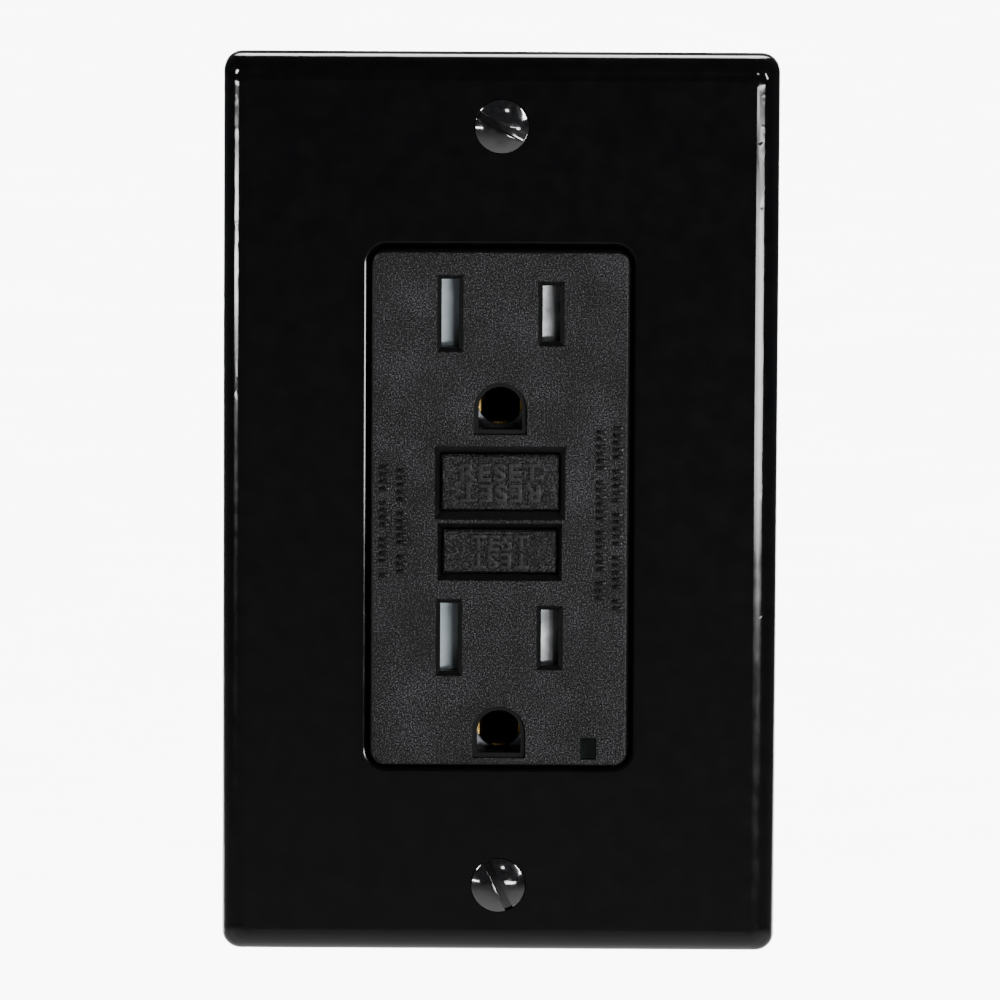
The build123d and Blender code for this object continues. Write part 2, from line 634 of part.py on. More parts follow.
with BuildPart() as screw_retainers:
    with BuildSketch(at_depth(0.85)):
        with GridLocations(0, 2 * BOX_SCREW_Z, 1, 2):
            RectangleRounded(9.5, 7.0, 0.8)
            Circle(BOX_SCREW_NECK + 0.02, mode=Mode.SUBTRACT)
    extrude(amount=0.8)
finish(screw_retainers, "screw_retainers")

# Middle housing: the insulating block that holds the contacts and closes off the mechanism.
CHANNEL_INSIDE = 4.2
CHANNEL_OUTSIDE = 11.6
GRIP_HALF = 5.4
with BuildPart() as middle_housing:
    with BuildSketch(at_depth(MIDDLE_REAR)):
        Rectangle(2 * SKIRT_INSIDE_X - 0.4, 2 * SKIRT_INSIDE_Z - 0.4)
        with GridLocations(2 * ASSEMBLY_X, 2 * ASSEMBLY_Z, 2, 2):
            Circle(1.6, mode=Mode.SUBTRACT)
    extrude(amount=MIDDLE_REAR - MIDDLE_FRONT)
    block((-STRAP_NOTCH + 0.2, STRAP_NOTCH - 0.2), (MIDDLE_FRONT, BODY_JOIN - 0.2), (-33.9, 33.9))
    # Wells behind the ground holes
    for outlet_z in OUTLET_Z:
        pin_z = outlet_z - GROUND_DROP
        rod(WELL_RADIUS + 0.55, (0, MIDDLE_REAR - 1, pin_z), (0, WELL_END + 0.6, pin_z))
    for outlet_z in OUTLET_Z:
        pin_z = outlet_z - GROUND_DROP
        rod(WELL_RADIUS, (0, MIDDLE_FRONT, pin_z), (0, WELL_END, pin_z), Mode.SUBTRACT)
        block((-3.3, 3.3), (MIDDLE_FRONT, LEAF_END + 0.5), (pin_z - 2.8, pin_z + 2.6), Mode.SUBTRACT)
        block((-6.5, 6.5), (MIDDLE_FRONT, 1.6), (pin_z - 3.9, pin_z + 5.2), Mode.SUBTRACT)
    # Channels for the two face contacts
    for side in (-1, 1):
        channel_x = sorted((side * CHANNEL_INSIDE, side * CHANNEL_OUTSIDE))
        channel_y = (MIDDLE_FRONT, MIDDLE_FLOOR)
        for outlet_z in OUTLET_Z:
            block(channel_x, channel_y, (outlet_z - GRIP_HALF, outlet_z + GRIP_HALF), Mode.SUBTRACT)
        bar_x = sorted((side * 9.3, side * CHANNEL_OUTSIDE))
        block(bar_x, channel_y, (OUTLET_Z[1] - GRIP_HALF, OUTLET_Z[0] + GRIP_HALF), Mode.SUBTRACT)
        block(channel_x, channel_y, (CONTACT_Z - 1.8, CONTACT_Z + 1.8), Mode.SUBTRACT)
        rod(
            0.85,
            (side * FACE_CONTACT_X, MIDDLE_FLOOR - 1, CONTACT_Z),
            (side * FACE_CONTACT_X, MIDDLE_REAR + 1, CONTACT_Z),
            Mode.SUBTRACT,
        )
        # Hollows that keep the moulding's walls even
        for hollow_z in (-24, -12, 0, 12, 24):
            hollow = sorted((side * 12.8, side * 16.0))
            block(hollow, (MIDDLE_FRONT, MIDDLE_FLOOR), (hollow_z - 5, hollow_z + 5), Mode.SUBTRACT)
    # Pockets behind the buttons, and the bore for the reset pin
    rod(3.55, (0, MIDDLE_FRONT, RESET_Z), (0, RESET_SEAT, RESET_Z), Mode.SUBTRACT)
    rod(0.95, (0, MIDDLE_FRONT, RESET_Z), (0, MIDDLE_REAR + 1, RESET_Z), Mode.SUBTRACT)
    block((-3.4, 3.4), (MIDDLE_FRONT, 4.65), (TEST_Z - 3.0, TEST_Z + 3.0), Mode.SUBTRACT)
    block(
        (INDICATOR_X - 1.15, INDICATOR_X + 1.15),
        (MIDDLE_FRONT, MIDDLE_REAR),
        (INDICATOR_Z - 1.55, INDICATOR_Z + 1.55),
        Mode.SUBTRACT,
    )
finish(middle_housing, "middle_housing")

# Face contacts: a brass bar along each side with a pair of gripping leaves at each outlet.
LEAF_FRONT = 1.0
BAR_X = (9.7, 10.5)
BAR_Y = (6.6, 9.0)
for side, contact_name in ((-1, "neutral_face_contact"), (1, "hot_face_contact")):
    with BuildPart() as face_contact:
        for outlet_z in OUTLET_Z:
            with BuildSketch(Plane.XY.offset(outlet_z - 3.4)):
                with BuildLine():
                    Polyline(
                        (side * (BLADE_X - 1.7), LEAF_FRONT),
                        (side * (BLADE_X - 0.65), LEAF_FRONT + 2.4),
                        (side * (BLADE_X - 1.3), 9.0),
                        (side * BAR_X[1], 9.0),
                        (side * BAR_X[1], 8.4),
                        (side * (BLADE_X + 1.2), 8.4),
                        (side * (BLADE_X + 0.65), LEAF_FRONT + 2.4),
                        (side * (BLADE_X + 1.7), LEAF_FRONT),
                        (side * (BLADE_X + 1.2), LEAF_FRONT),
                        (side * (BLADE_X + 0.15), LEAF_FRONT + 2.4),
                        (side * (BLADE_X + 0.8), 8.4),
                        (side * (BLADE_X - 0.8), 8.4),
                        (side * (BLADE_X - 0.15), LEAF_FRONT + 2.4),
                        (side * (BLADE_X - 1.2), LEAF_FRONT),
                        (side * (BLADE_X - 1.7), LEAF_FRONT),
                    )
                make_face()
            extrude(amount=6.8)
        block(sorted((side * BAR_X[0], side * BAR_X[1])), BAR_Y, (OUTLET_Z[1] - 3.4, OUTLET_Z[0] + 3.4))
        bridge_x = sorted((side * (CHANNEL_INSIDE + 0.1), side * BAR_X[1]))
        block(bridge_x, (8.2, 9.0), (CONTACT_Z - 1.6, CONTACT_Z + 1.6))
        rod(
            0.85,
            (side * FACE_CONTACT_X, 8, CONTACT_Z),
            (side * FACE_CONTACT_X, 10, CONTACT_Z),
            Mode.SUBTRACT,
        )
    finish(face_contact, contact_name)

# Fixed contacts: silver-faced rivets, one pair for the outlets and one pair for the load terminals.
with BuildPart() as fixed_contacts:
    for side in (-1, 1):
        rod(0.8, (side * FACE_CONTACT_X, 8.2, CONTACT_Z), (side * FACE_CONTACT_X, 11.9, CONTACT_Z))
        for contact_x in (FACE_CONTACT_X, LOAD_CONTACT_X):
            rod(1.2, (side * contact_x, 11.85, CONTACT_Z), (side * contact_x, CONTACT_PLANE, CONTACT_Z))
finish(fixed_contacts, "fixed_contacts")

# Back housing: the rear shell, with an open niche at each terminal and wire holes in its back.
COLUMN_RADIUS = 2.2
STRIP_LENGTH = 15.9
MARKING_DEPTH = 0.3
with BuildPart() as back_housing:
    with BuildSketch(at_depth(BODY_REAR)):
        RectangleRounded(BODY_WIDTH, BODY_HEIGHT, 1.5)
    extrude(amount=BODY_REAR - BODY_JOIN - 0.02)
    chamfer(back_housing.faces().sort_by(Axis.Y)[-1].edges(), length=0.8)
    floor_y = BODY_REAR - BODY_WALL
    inner_x = NICHE_FLOOR_X - NICHE_WALL
    full_x = (-SKIRT_INSIDE_X, SKIRT_INSIDE_X)
    full_z = (-SKIRT_INSIDE_Z, SKIRT_INSIDE_Z)
    block(full_x, (BODY_JOIN, NICHE_FRONT), full_z, Mode.SUBTRACT)
    block((-inner_x, inner_x), (BODY_JOIN, floor_y), full_z, Mode.SUBTRACT)
    block(full_x, (BODY_JOIN, floor_y), (-13.2, 13.2), Mode.SUBTRACT)
    for low, high in ((29.0, SKIRT_INSIDE_Z), (-SKIRT_INSIDE_Z, -29.0)):
        block(full_x, (BODY_JOIN, floor_y), (low, high), Mode.SUBTRACT)
    # Columns for the assembly screws, and pads under the circuit board
    with BuildSketch(at_depth(floor_y)):
        with GridLocations(2 * ASSEMBLY_X, 2 * ASSEMBLY_Z, 2, 2):
            Circle(COLUMN_RADIUS)
    extrude(amount=floor_y - NICHE_FRONT)
    with BuildSketch(at_depth(floor_y)):
        with GridLocations(18, 56, 2, 2):
            Circle(1.2)
    extrude(amount=floor_y - BOARD_FRONT - BOARD_THICKNESS - 0.02)
    with BuildSketch(at_depth(BODY_REAR)):
        with GridLocations(2 * ASSEMBLY_X, 2 * ASSEMBLY_Z, 2, 2):
            Circle(1.55)
    extrude(amount=BODY_REAR - BODY_JOIN, mode=Mode.SUBTRACT)
    with BuildSketch(at_depth(BODY_REAR)):
        with GridLocations(2 * ASSEMBLY_X, 2 * ASSEMBLY_Z, 2, 2):
            Circle(2.75)
    extrude(amount=2.2, mode=Mode.SUBTRACT)
    for side in (-1, 1):
        for end in (-1, 1):
            middle_z = end * TERMINAL_Z
            block(
                sorted((side * NICHE_FLOOR_X, side * 20)),
                (NICHE_FRONT, NICHE_REAR),
                (middle_z - NICHE_HALF, middle_z + NICHE_HALF),
                Mode.SUBTRACT,
            )
            rod(2.3, (side * 10, TERMINAL_Y, middle_z), (side * 14, TERMINAL_Y, middle_z), Mode.SUBTRACT)
            for offset in (-WIRE_HOLE_OFFSET, WIRE_HOLE_OFFSET):
                rod(
                    WIRE_HOLE_RADIUS,
                    (side * WIRE_X, NICHE_REAR - 1, middle_z + offset),
                    (side * WIRE_X, BODY_REAR + 1, middle_z + offset),
                    Mode.SUBTRACT,
                )
            # A gap in the niche's floor for the terminal's tail
            tail_z = middle_z - end * 4.2 if end > 0 else middle_z + 4.2
            block(
                sorted((side * 11, side * 14)),
                (NICHE_FRONT - 0.1, NICHE_FRONT + 1.3),
                (tail_z - 1.8, tail_z + 1.8),
                Mode.SUBTRACT,
            )
    # A sunk panel for markings, and a groove as long as the bare end of a wire
    with BuildSketch(at_depth(BODY_REAR)):
        RectangleRounded(20, 30, 1.0)
        with Locations((0, -BODY_HEIGHT / 2 + 6)):
            SlotOverall(STRIP_LENGTH, 2.4)
    extrude(amount=MARKING_DEPTH, mode=Mode.SUBTRACT)
finish(back_housing, "back_housing")

with BuildPart() as assembly_screws:
    for x in (-ASSEMBLY_X, ASSEMBLY_X):
        for z in (-ASSEMBLY_Z, ASSEMBLY_Z):
            rod(1.22, (x, -2.4, z), (x, 25.6, z))
            rod(2.5, (x, 25.35, z), (x, 27.2, z))
            block((x - 1.8, x + 1.8), (26.2, 28), (z - 0.35, z + 0.35), Mode.SUBTRACT)
            block((x - 0.35, x + 0.35), (26.2, 28), (z - 1.8, z + 1.8), Mode.SUBTRACT)
finish(assembly_screws, "assembly_screws")

# Terminals: a tapped brass plate in each niche, a clamp plate outside it, and a screw. The line
# terminals reach back to the circuit board, and the load terminals reach in to the contacts.
TAIL_Y = (11.0, 11.8)
PIN_END = 24.9
SCREW_RADIUS = 2.08
TERMINALS = (
    ("line_hot", 1, -1),
    ("line_neutral", -1, -1),
    ("load_hot", 1, 1),
    ("load_neutral", -1, 1),
)
for terminal_name, side, end in TERMINALS:
    middle_z = end * TERMINAL_Z
    plate_x = sorted((side * (NICHE_FLOOR_X + 0.05), side * (NICHE_FLOOR_X + TERMINAL_THICKNESS)))
    tail_middle = middle_z - end * WIRE_HOLE_OFFSET
    with BuildPart() as terminal:
        block(plate_x, (TAIL_Y[0], 21.9), (middle_z - 6.2, middle_z + 6.2))
        tail_z = (tail_middle - 1.5, tail_middle + 1.5)
        block(sorted((side * 9.6, side * 14)), TAIL_Y, tail_z)
        if end > 0:
            block(sorted((side * 7.2, side * 9.7)), TAIL_Y, (CONTACT_Z - 1.5, tail_z[1]))
        else:
            pin_x = sorted((side * 9.6, side * 10.4))
            block(pin_x, (TAIL_Y[0], BOARD_FRONT - 0.1), tail_z)
            block(pin_x, (BOARD_FRONT - 0.2, PIN_END), (tail_middle - 0.5, tail_middle + 0.5))
        axis_in, axis_out = (side * 13, TERMINAL_Y, middle_z), (side * 19, TERMINAL_Y, middle_z)
        rod(SCREW_RADIUS + 0.04, axis_in, axis_out, Mode.SUBTRACT)
    finish(terminal, f"{terminal_name}_terminal")
    with BuildPart() as clamp_plate:
        clamp_x = sorted((side * CLAMP_X, side * (CLAMP_X + CLAMP_THICKNESS)))
        block(clamp_x, (TERMINAL_Y - 4.2, TERMINAL_Y + 4.2), (middle_z - 5.9, middle_z + 5.9))
        fillet(clamp_plate.edges().filter_by(Axis.X), radius=1.0)
        rod(SCREW_RADIUS + 0.06, axis_in, axis_out, Mode.SUBTRACT)
    finish(clamp_plate, f"{terminal_name}_clamp")
    # The screw is drawn towards +X and mirrored for the neutral side.
    head_x = CLAMP_X + CLAMP_THICKNESS + 0.05
    with BuildPart() as terminal_screw:
        screw_plane = Plane(origin=(0, TERMINAL_Y, middle_z), x_dir=(side, 0, 0), z_dir=(0, 0, side))
        with BuildSketch(screw_plane):
            with BuildLine():
                Polyline(*screw_outline(12.2, head_x, head_x + 2.6, SCREW_RADIUS, 4.0), close=True)
            make_face()
        revolve(axis=Axis((0, TERMINAL_Y, middle_z), (1, 0, 0)))
        slot_x = sorted((side * (head_x + 1.3), side * (head_x + 4)))
        block(slot_x, (TERMINAL_Y - 5, TERMINAL_Y + 5), (middle_z - 0.55, middle_z + 0.55), Mode.SUBTRACT)
    finish(terminal_screw, f"{terminal_name}_screw")

# Line conductors: two brass straps from the circuit board, through the transformer, to the arms.
TRANSFORMER_Z = -23.0
with BuildPart() as line_conductors:
    for side in (-1, 1):
        post_x = sorted((side * 0.7, side * 2.1))
        block(post_x, (12.6, BOARD_FRONT - 0.1), (TRANSFORMER_Z - 0.6, TRANSFORMER_Z + 0.6))
        block(post_x, (BOARD_FRONT - 0.2, PIN_END), (TRANSFORMER_Z - 0.4, TRANSFORMER_Z + 0.4))
        block(post_x, (12.6, 13.38), (TRANSFORMER_Z - 0.6, ARM_ROOT_Z - 0.1))
        block(sorted((side * 0.7, side * 9.2)), (12.6, 13.38), (ARM_ROOT_Z - 2.5, ARM_ROOT_Z - 0.1))
finish(line_conductors, "line_conductors")

# Contact arms: springy strips, each with two contacts that bridge a load and an outlet contact.
for side, arm_name in ((-1, "neutral_contact_arm"), (1, "hot_contact_arm")):
    with BuildPart() as arm:
        block(
            sorted((side * 3.9, side * 9.4)),
            (ARM_FRONT, ARM_FRONT + ARM_THICKNESS),
            (ARM_ROOT_Z, CONTACT_Z + 1.6),
        )
        block(sorted((side * 6.4, side * 7.0)), (ARM_FRONT - 1, ARM_FRONT + 1), (-8, 5), Mode.SUBTRACT)
    finish(arm, arm_name)

with BuildPart() as arm_contacts:
    for side in (-1, 1):
        for contact_x in (FACE_CONTACT_X, LOAD_CONTACT_X):
            contact_front = (side * contact_x, CONTACT_PLANE + 0.05, CONTACT_Z)
            rod(1.1, contact_front, (side * contact_x, ARM_FRONT, CONTACT_Z))
finish(arm_contacts, "arm_contacts")

# Contact carrier: the sliding block that lifts the arms. The latch plate slides across it.
CARRIER_FRONT = 14.3
CARRIER_REAR = 19.0
WING_FRONT = ARM_FRONT + ARM_THICKNESS + 0.1
with BuildPart() as contact_carrier:
    block((-3.6, 3.6), (CARRIER_FRONT, CARRIER_REAR), (-7.0, 7.6))
    block((-9.2, 9.2), (WING_FRONT, WING_FRONT + 1.4), (-4.5, 2.6))
    block((-2.95, 2.95), (LATCH_Y - 0.5, LATCH_Y + 0.5), (-4.4, 8), Mode.SUBTRACT)
    rod(1.3, (0, LATCH_Y, -6.6), (0, LATCH_Y, -2.0), Mode.SUBTRACT)
    rod(1.7, (0, WING_FRONT - 1, RESET_Z), (0, CARRIER_REAR + 1, RESET_Z), Mode.SUBTRACT)
finish(contact_carrier, "contact_carrier")

# Latch plate: its slot catches the pin's cone on the lower side until the plunger pushes it down.
with BuildPart() as latch_plate:
    with BuildSketch(at_depth(LATCH_Y + 0.4)):
        with Locations((0, 3.35)):
            Rectangle(5.4, 12.9)
        with Locations((0, RESET_Z + 1.05)):
            SlotCenterToCenter(0.7, 3.2, rotation=90, mode=Mode.SUBTRACT)
    extrude(amount=0.8)
    block((-2.7, 2.7), (LATCH_Y - 1.4, LATCH_Y + 2.4), (9.1, 9.9))
finish(latch_plate, "latch_plate")

# Solenoid: bobbin, winding, steel frame and plunger, lying along Z.
FRAME_LOW = 16.5
FRAME_HIGH = 28.6
with BuildPart() as solenoid_bobbin:
    rod(2.9, (0, SOLENOID_Y, FRAME_LOW + 1.05), (0, SOLENOID_Y, FRAME_HIGH - 1.05))
    rod(4.6, (0, SOLENOID_Y, FRAME_LOW + 1.05), (0, SOLENOID_Y, FRAME_LOW + 1.85))
    rod(4.6, (0, SOLENOID_Y, FRAME_HIGH - 1.85), (0, SOLENOID_Y, FRAME_HIGH - 1.05))
    rod(2.15, (0, SOLENOID_Y, FRAME_LOW), (0, SOLENOID_Y, FRAME_HIGH), Mode.SUBTRACT)
finish(solenoid_bobbin, "solenoid_bobbin")

with BuildPart() as solenoid_coil:
    rod(4.3, (0, SOLENOID_Y, FRAME_LOW + 1.9), (0, SOLENOID_Y, FRAME_HIGH - 1.9))
    rod(2.95, (0, SOLENOID_Y, FRAME_LOW), (0, SOLENOID_Y, FRAME_HIGH), Mode.SUBTRACT)
finish(solenoid_coil, "solenoid_coil")

with BuildPart() as solenoid_frame:
    block((-4.4, 4.4), (13.2, 22.8), (FRAME_LOW, FRAME_LOW + 1))
    block((-4.4, 4.4), (13.2, 22.8), (FRAME_HIGH - 1, FRAME_HIGH))
    block((-4.4, 4.4), (22.0, 22.8), (FRAME_LOW, FRAME_HIGH))
    rod(2.2, (0, SOLENOID_Y, FRAME_LOW - 1), (0, SOLENOID_Y, FRAME_HIGH + 1), Mode.SUBTRACT)
finish(solenoid_frame, "solenoid_frame")

with BuildPart() as solenoid_plunger:
    rod(1.0, (0, SOLENOID_Y, 10.2), (0, SOLENOID_Y, 18.5))
    rod(2.05, (0, SOLENOID_Y, 18.4), (0, SOLENOID_Y, 30.8))
    rod(2.9, (0, SOLENOID_Y, 30.7), (0, SOLENOID_Y, 31.6))
finish(solenoid_plunger, "solenoid_plunger")

# Transformer: two wound rings in a round plastic cup around the line conductors.
CUP_RADIUS = 8.0
RING_RADII = (3.7, 7.1)
with BuildPart() as transformer_housing:
    with BuildSketch(at_depth(22.6)):
        with Locations((0, TRANSFORMER_Z)):
            Circle(CUP_RADIUS)
            Circle(2.9, mode=Mode.SUBTRACT)
    extrude(amount=8.4)
    with BuildSketch(at_depth(21.9)):
        with Locations((0, TRANSFORMER_Z)):
            Circle(CUP_RADIUS - 0.7)
            Circle(3.5, mode=Mode.SUBTRACT)
    extrude(amount=8.0, mode=Mode.SUBTRACT)
finish(transformer_housing, "transformer_housing")

with BuildPart() as transformer_cores:
    for ring_rear in (21.7, 18.0):
        with BuildSketch(at_depth(ring_rear)):
            with Locations((0, TRANSFORMER_Z)):
                Circle(RING_RADII[1])
                Circle(RING_RADII[0], mode=Mode.SUBTRACT)
        extrude(amount=3.3)
    fillet(transformer_cores.edges().filter_by(GeomType.CIRCLE), radius=0.8)
finish(transformer_cores, "transformer_cores")

# Circuit board, with holes for the terminal pins and the line conductors.
with BuildPart() as circuit_board:
    with BuildSketch(at_depth(BOARD_FRONT + BOARD_THICKNESS)):
        Rectangle(22.2, 63.6)
        with Locations((11.4, -30.6)):
            Rectangle(3.0, 2.8)
        for side in (-1, 1):
            with Locations((side * 1.4, TRANSFORMER_Z)):
                Rectangle(1.7, 1.1, mode=Mode.SUBTRACT)
            with Locations((side * 10.0, -TERMINAL_Z + WIRE_HOLE_OFFSET)):
                Rectangle(1.1, 1.3, mode=Mode.SUBTRACT)
    extrude(amount=BOARD_THICKNESS)
finish(circuit_board, "circuit_board")

# Parts on the board. Each stands on the board's front face.
BOARD_TOP = BOARD_FRONT - 0.03
with BuildPart() as surge_varistor:
    rod(3.8, (-4.6, 18.3, -12.2), (-4.6, 18.3, -9.2))
    fillet(surge_varistor.edges().filter_by(GeomType.CIRCLE), radius=0.9)
    rod(0.35, (-6.6, 20, -10.7), (-6.6, BOARD_TOP, -10.7))
    rod(0.35, (-2.6, 20, -10.7), (-2.6, BOARD_TOP, -10.7))
finish(surge_varistor, "surge_varistor")

with BuildPart() as trip_scr:
    block((2.2, 6.6), (16.2, 20.8), (-12.2, -9.2))
    for pin_x in (3.2, 4.4, 5.6):
        block((pin_x - 0.2, pin_x + 0.2), (20.6, BOARD_TOP), (-10.9, -10.5))
finish(trip_scr, "trip_scr")

with BuildPart() as control_ic:
    block((-10.2, -5.4), (21.6, 22.9), (-4, 4))
    for pin_z in (-3, -1, 1, 3):
        for pin_x in (-10.7, -4.9):
            block((pin_x - 0.55, pin_x + 0.55), (22.5, BOARD_TOP), (pin_z - 0.3, pin_z + 0.3))
finish(control_ic, "control_ic")

with BuildPart() as resistors:
    for resistor_x, resistor_z in ((-7.6, 25.0), (7.6, 25.0), (7.6, 11.0), (7.6, 0.0)):
        rod(0.9, (resistor_x, 21.5, resistor_z - 2.6), (resistor_x, 21.5, resistor_z + 2.6))
        rod(1.15, (resistor_x, 21.5, resistor_z - 3.2), (resistor_x, 21.5, resistor_z - 1.9))
        rod(1.15, (resistor_x, 21.5, resistor_z + 1.9), (resistor_x, 21.5, resistor_z + 3.2))
        for end in (-1, 1):
            lead_z = resistor_z + end * 4.0
            rod(0.25, (resistor_x, 21.5, resistor_z + end * 3), (resistor_x, 21.5, lead_z + end * 0.2))
            rod(0.25, (resistor_x, 21.3, lead_z), (resistor_x, BOARD_TOP, lead_z))
finish(resistors, "resistors")
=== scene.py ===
import math

import bmesh
import bpy
from mathutils import Matrix, Quaternion, Vector


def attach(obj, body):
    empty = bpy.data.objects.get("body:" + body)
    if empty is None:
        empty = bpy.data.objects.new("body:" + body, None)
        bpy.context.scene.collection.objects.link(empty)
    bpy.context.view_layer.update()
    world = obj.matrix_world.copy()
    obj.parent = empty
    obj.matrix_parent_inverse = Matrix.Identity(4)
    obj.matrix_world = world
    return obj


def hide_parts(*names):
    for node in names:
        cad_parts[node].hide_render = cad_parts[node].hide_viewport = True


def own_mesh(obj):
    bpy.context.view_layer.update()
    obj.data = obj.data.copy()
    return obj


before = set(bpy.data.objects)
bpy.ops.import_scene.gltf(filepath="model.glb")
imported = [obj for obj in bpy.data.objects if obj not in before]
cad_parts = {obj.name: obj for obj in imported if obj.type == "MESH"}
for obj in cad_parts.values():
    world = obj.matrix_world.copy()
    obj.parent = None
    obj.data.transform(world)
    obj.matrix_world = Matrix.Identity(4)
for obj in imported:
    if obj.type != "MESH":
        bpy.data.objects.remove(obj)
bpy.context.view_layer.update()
MM = 0.001


# Wall plate: one injection moulding in glossy black plastic, polished in the mould. It has a raised
# middle, a rounded ridge all round and a deep shine with a faint waviness from shrinkage.
def linear(colour):
    """A hex sRGB colour as linear red, green, blue and alpha."""
    parts = [int(colour[start:start + 2], 16) / 255 for start in (1, 3, 5)]
    return [part / 12.92 if part < 0.04045 else ((part + 0.055) / 1.055) ** 2.4 for part in parts] + [1]


def add(tree, kind, inputs, **settings):
    """Adds a node. An input is a value for its socket, or another node's output to link."""
    made = tree.nodes.new(kind)
    for name, value in settings.items():
        setattr(made, name, value)
    for socket, value in inputs.items():
        if isinstance(value, bpy.types.NodeSocket):
            tree.links.new(value, made.inputs[socket])
        else:
            made.inputs[socket].default_value = value
    return made


def per(size):
    """The scale of a pattern whose features are that many millimetres across."""
    return 1 / (size * MM)


def new_finish(name, colour, roughness, metallic=0.0, specular=0.5):
    """A material, its node tree, its shader, and the object's own coordinates."""
    material = bpy.data.materials.new(name)
    material.use_nodes = True
    tree = material.node_tree
    shader = tree.nodes["Principled BSDF"]
    shader.inputs["Base Color"].default_value = linear(colour)
    shader.inputs["Roughness"].default_value = roughness
    shader.inputs["Metallic"].default_value = metallic
    shader.inputs["Specular IOR Level"].default_value = specular
    return material, tree, shader, add(tree, "ShaderNodeTexCoord", {}).outputs["Object"]


def vary(tree, socket, pattern, low, high):
    """Drives a shader's socket with a pattern, from a low to a high colour or number."""
    if isinstance(low, str):
        ramp = add(tree, "ShaderNodeValToRGB", {"Fac": pattern})
        ramp.color_ramp.elements[0].position = 0.3
        ramp.color_ramp.elements[1].position = 0.7
        ramp.color_ramp.elements[0].color = linear(low)
        ramp.color_ramp.elements[1].color = linear(high)
        tree.links.new(ramp.outputs["Color"], socket)
    else:
        span = add(tree, "ShaderNodeMapRange", {"Value": pattern, 1: 0.3, 2: 0.7, 3: low, 4: high})
        tree.links.new(span.outputs["Result"], socket)


def emboss(tree, shader, pattern, depth, strength=1.0):
    """Raises a shader's surface by a pattern, depth in millimetres."""
    raised = add(
        tree, "ShaderNodeBump", {"Height": pattern, "Distance": depth * MM, "Strength": strength}
    )
    tree.links.new(raised.outputs["Normal"], shader.inputs["Normal"])


def paint(material, *names):
    """Gives CAD nodes a finish."""
    for name in names:
        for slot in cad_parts[name].material_slots:
            slot.material = material


def gloss_abs():
    """Glossy ABS, moulded against polished steel: near black, mirror-like, very slightly wavy."""
    material, tree, shader, place = new_finish("gloss_abs", "#060607", 0.1, specular=0.35)
    waves = add(tree, "ShaderNodeTexNoise", {"Vector": place, "Scale": per(14), "Detail": 1})
    haze = add(tree, "ShaderNodeTexNoise", {"Vector": place, "Scale": per(2.5), "Detail": 5})
    vary(tree, shader.inputs["Base Color"], haze.outputs["Fac"], "#030304", "#060607")
    vary(tree, shader.inputs["Roughness"], haze.outputs["Fac"], 0.07, 0.12)
    emboss(tree, shader, waves.outputs["Fac"], 0.03, 0.3)
    return material


paint(gloss_abs(), "wall_plate")


# Plate screws: steel oval heads in gloss enamel, each with one straight slot that a driver has
# rubbed. They are turned, rolled and sprayed, and cut their own place in the strap's threads.
def enamel():
    """Black spray enamel on steel: a thick gloss coat with orange peel, thin on sharp edges."""
    material, tree, shader, place = new_finish("black_enamel", "#0A0A0B", 0.08, specular=0.6)
    peel = add(tree, "ShaderNodeTexNoise", {"Vector": place, "Scale": per(0.9), "Detail": 1})
    wear = add(tree, "ShaderNodeTexNoise", {"Vector": place, "Scale": per(0.6), "Detail": 6})
    vary(tree, shader.inputs["Base Color"], wear.outputs["Fac"], "#09090A", "#141416")
    vary(tree, shader.inputs["Roughness"], wear.outputs["Fac"], 0.06, 0.16)
    emboss(tree, shader, peel.outputs["Fac"], 0.03, 0.4)
    shader.inputs["Coat Weight"].default_value = 0.9
    shader.inputs["Coat Roughness"].default_value = 0.04
    return material


def link_piece(name, mesh, material, body, replaced=()):
    """Puts a finished mesh in the scene as a piece that moves with a body."""
    mesh.materials.append(material)
    mesh.shade_smooth()
    mesh.set_sharp_from_angle(angle=math.radians(32))
    piece = bpy.data.objects.new(name, mesh)
    bpy.context.scene.collection.objects.link(piece)
    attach(piece, body)
    if replaced:
        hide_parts(*replaced)
    return piece


def to_mesh(shape, name):
    """Closes a bmesh, turns its faces outward and returns it as a mesh."""
    bmesh.ops.remove_doubles(shape, verts=shape.verts, dist=0.002 * MM)
    bmesh.ops.holes_fill(shape, edges=[edge for edge in shape.edges if edge.is_boundary])
    bmesh.ops.recalc_face_normals(shape, faces=shape.faces)
    mesh = bpy.data.meshes.new(name)
    shape.to_mesh(mesh)
    shape.free()
    return mesh


def turned(outline, steps=48):
    """A turned shape about Z from its outline: (radius, height) pairs in millimetres."""
    shape = bmesh.new()
    corners = [shape.verts.new((radius * MM, 0, height * MM)) for radius, height in outline]
    edges = [shape.edges.new(pair) for pair in zip(corners, corners[1:])]
    bmesh.ops.spin(
        shape,
        geom=corners + edges,
        cent=(0, 0, 0),
        axis=(0, 0, 1),
        angle=math.tau,
        steps=steps,
        use_merge=True,
    )
    return shape


def add_thread(shape, core, crest, pitch, start, end, steps=20):
    """Winds a thread of that pitch round the Z axis of a shape, between two heights."""
    turns = (end - start) / pitch - 1
    half = pitch * 0.46
    section = ((core - 0.08, -half), (crest, -pitch * 0.07), (crest, pitch * 0.07), (core - 0.08, half))
    corners = [
        shape.verts.new((radius * MM, 0, (start + pitch / 2 + height) * MM)) for radius, height in section
    ]
    cap = shape.faces.new(corners)
    count = max(1, round(turns * steps))
    bmesh.ops.spin(
        shape,
        geom=[cap],
        cent=(0, 0, 0),
        axis=(0, 0, 1),
        dvec=(0, 0, turns * pitch * MM / count),
        angle=turns * math.tau,
        steps=count,
    )


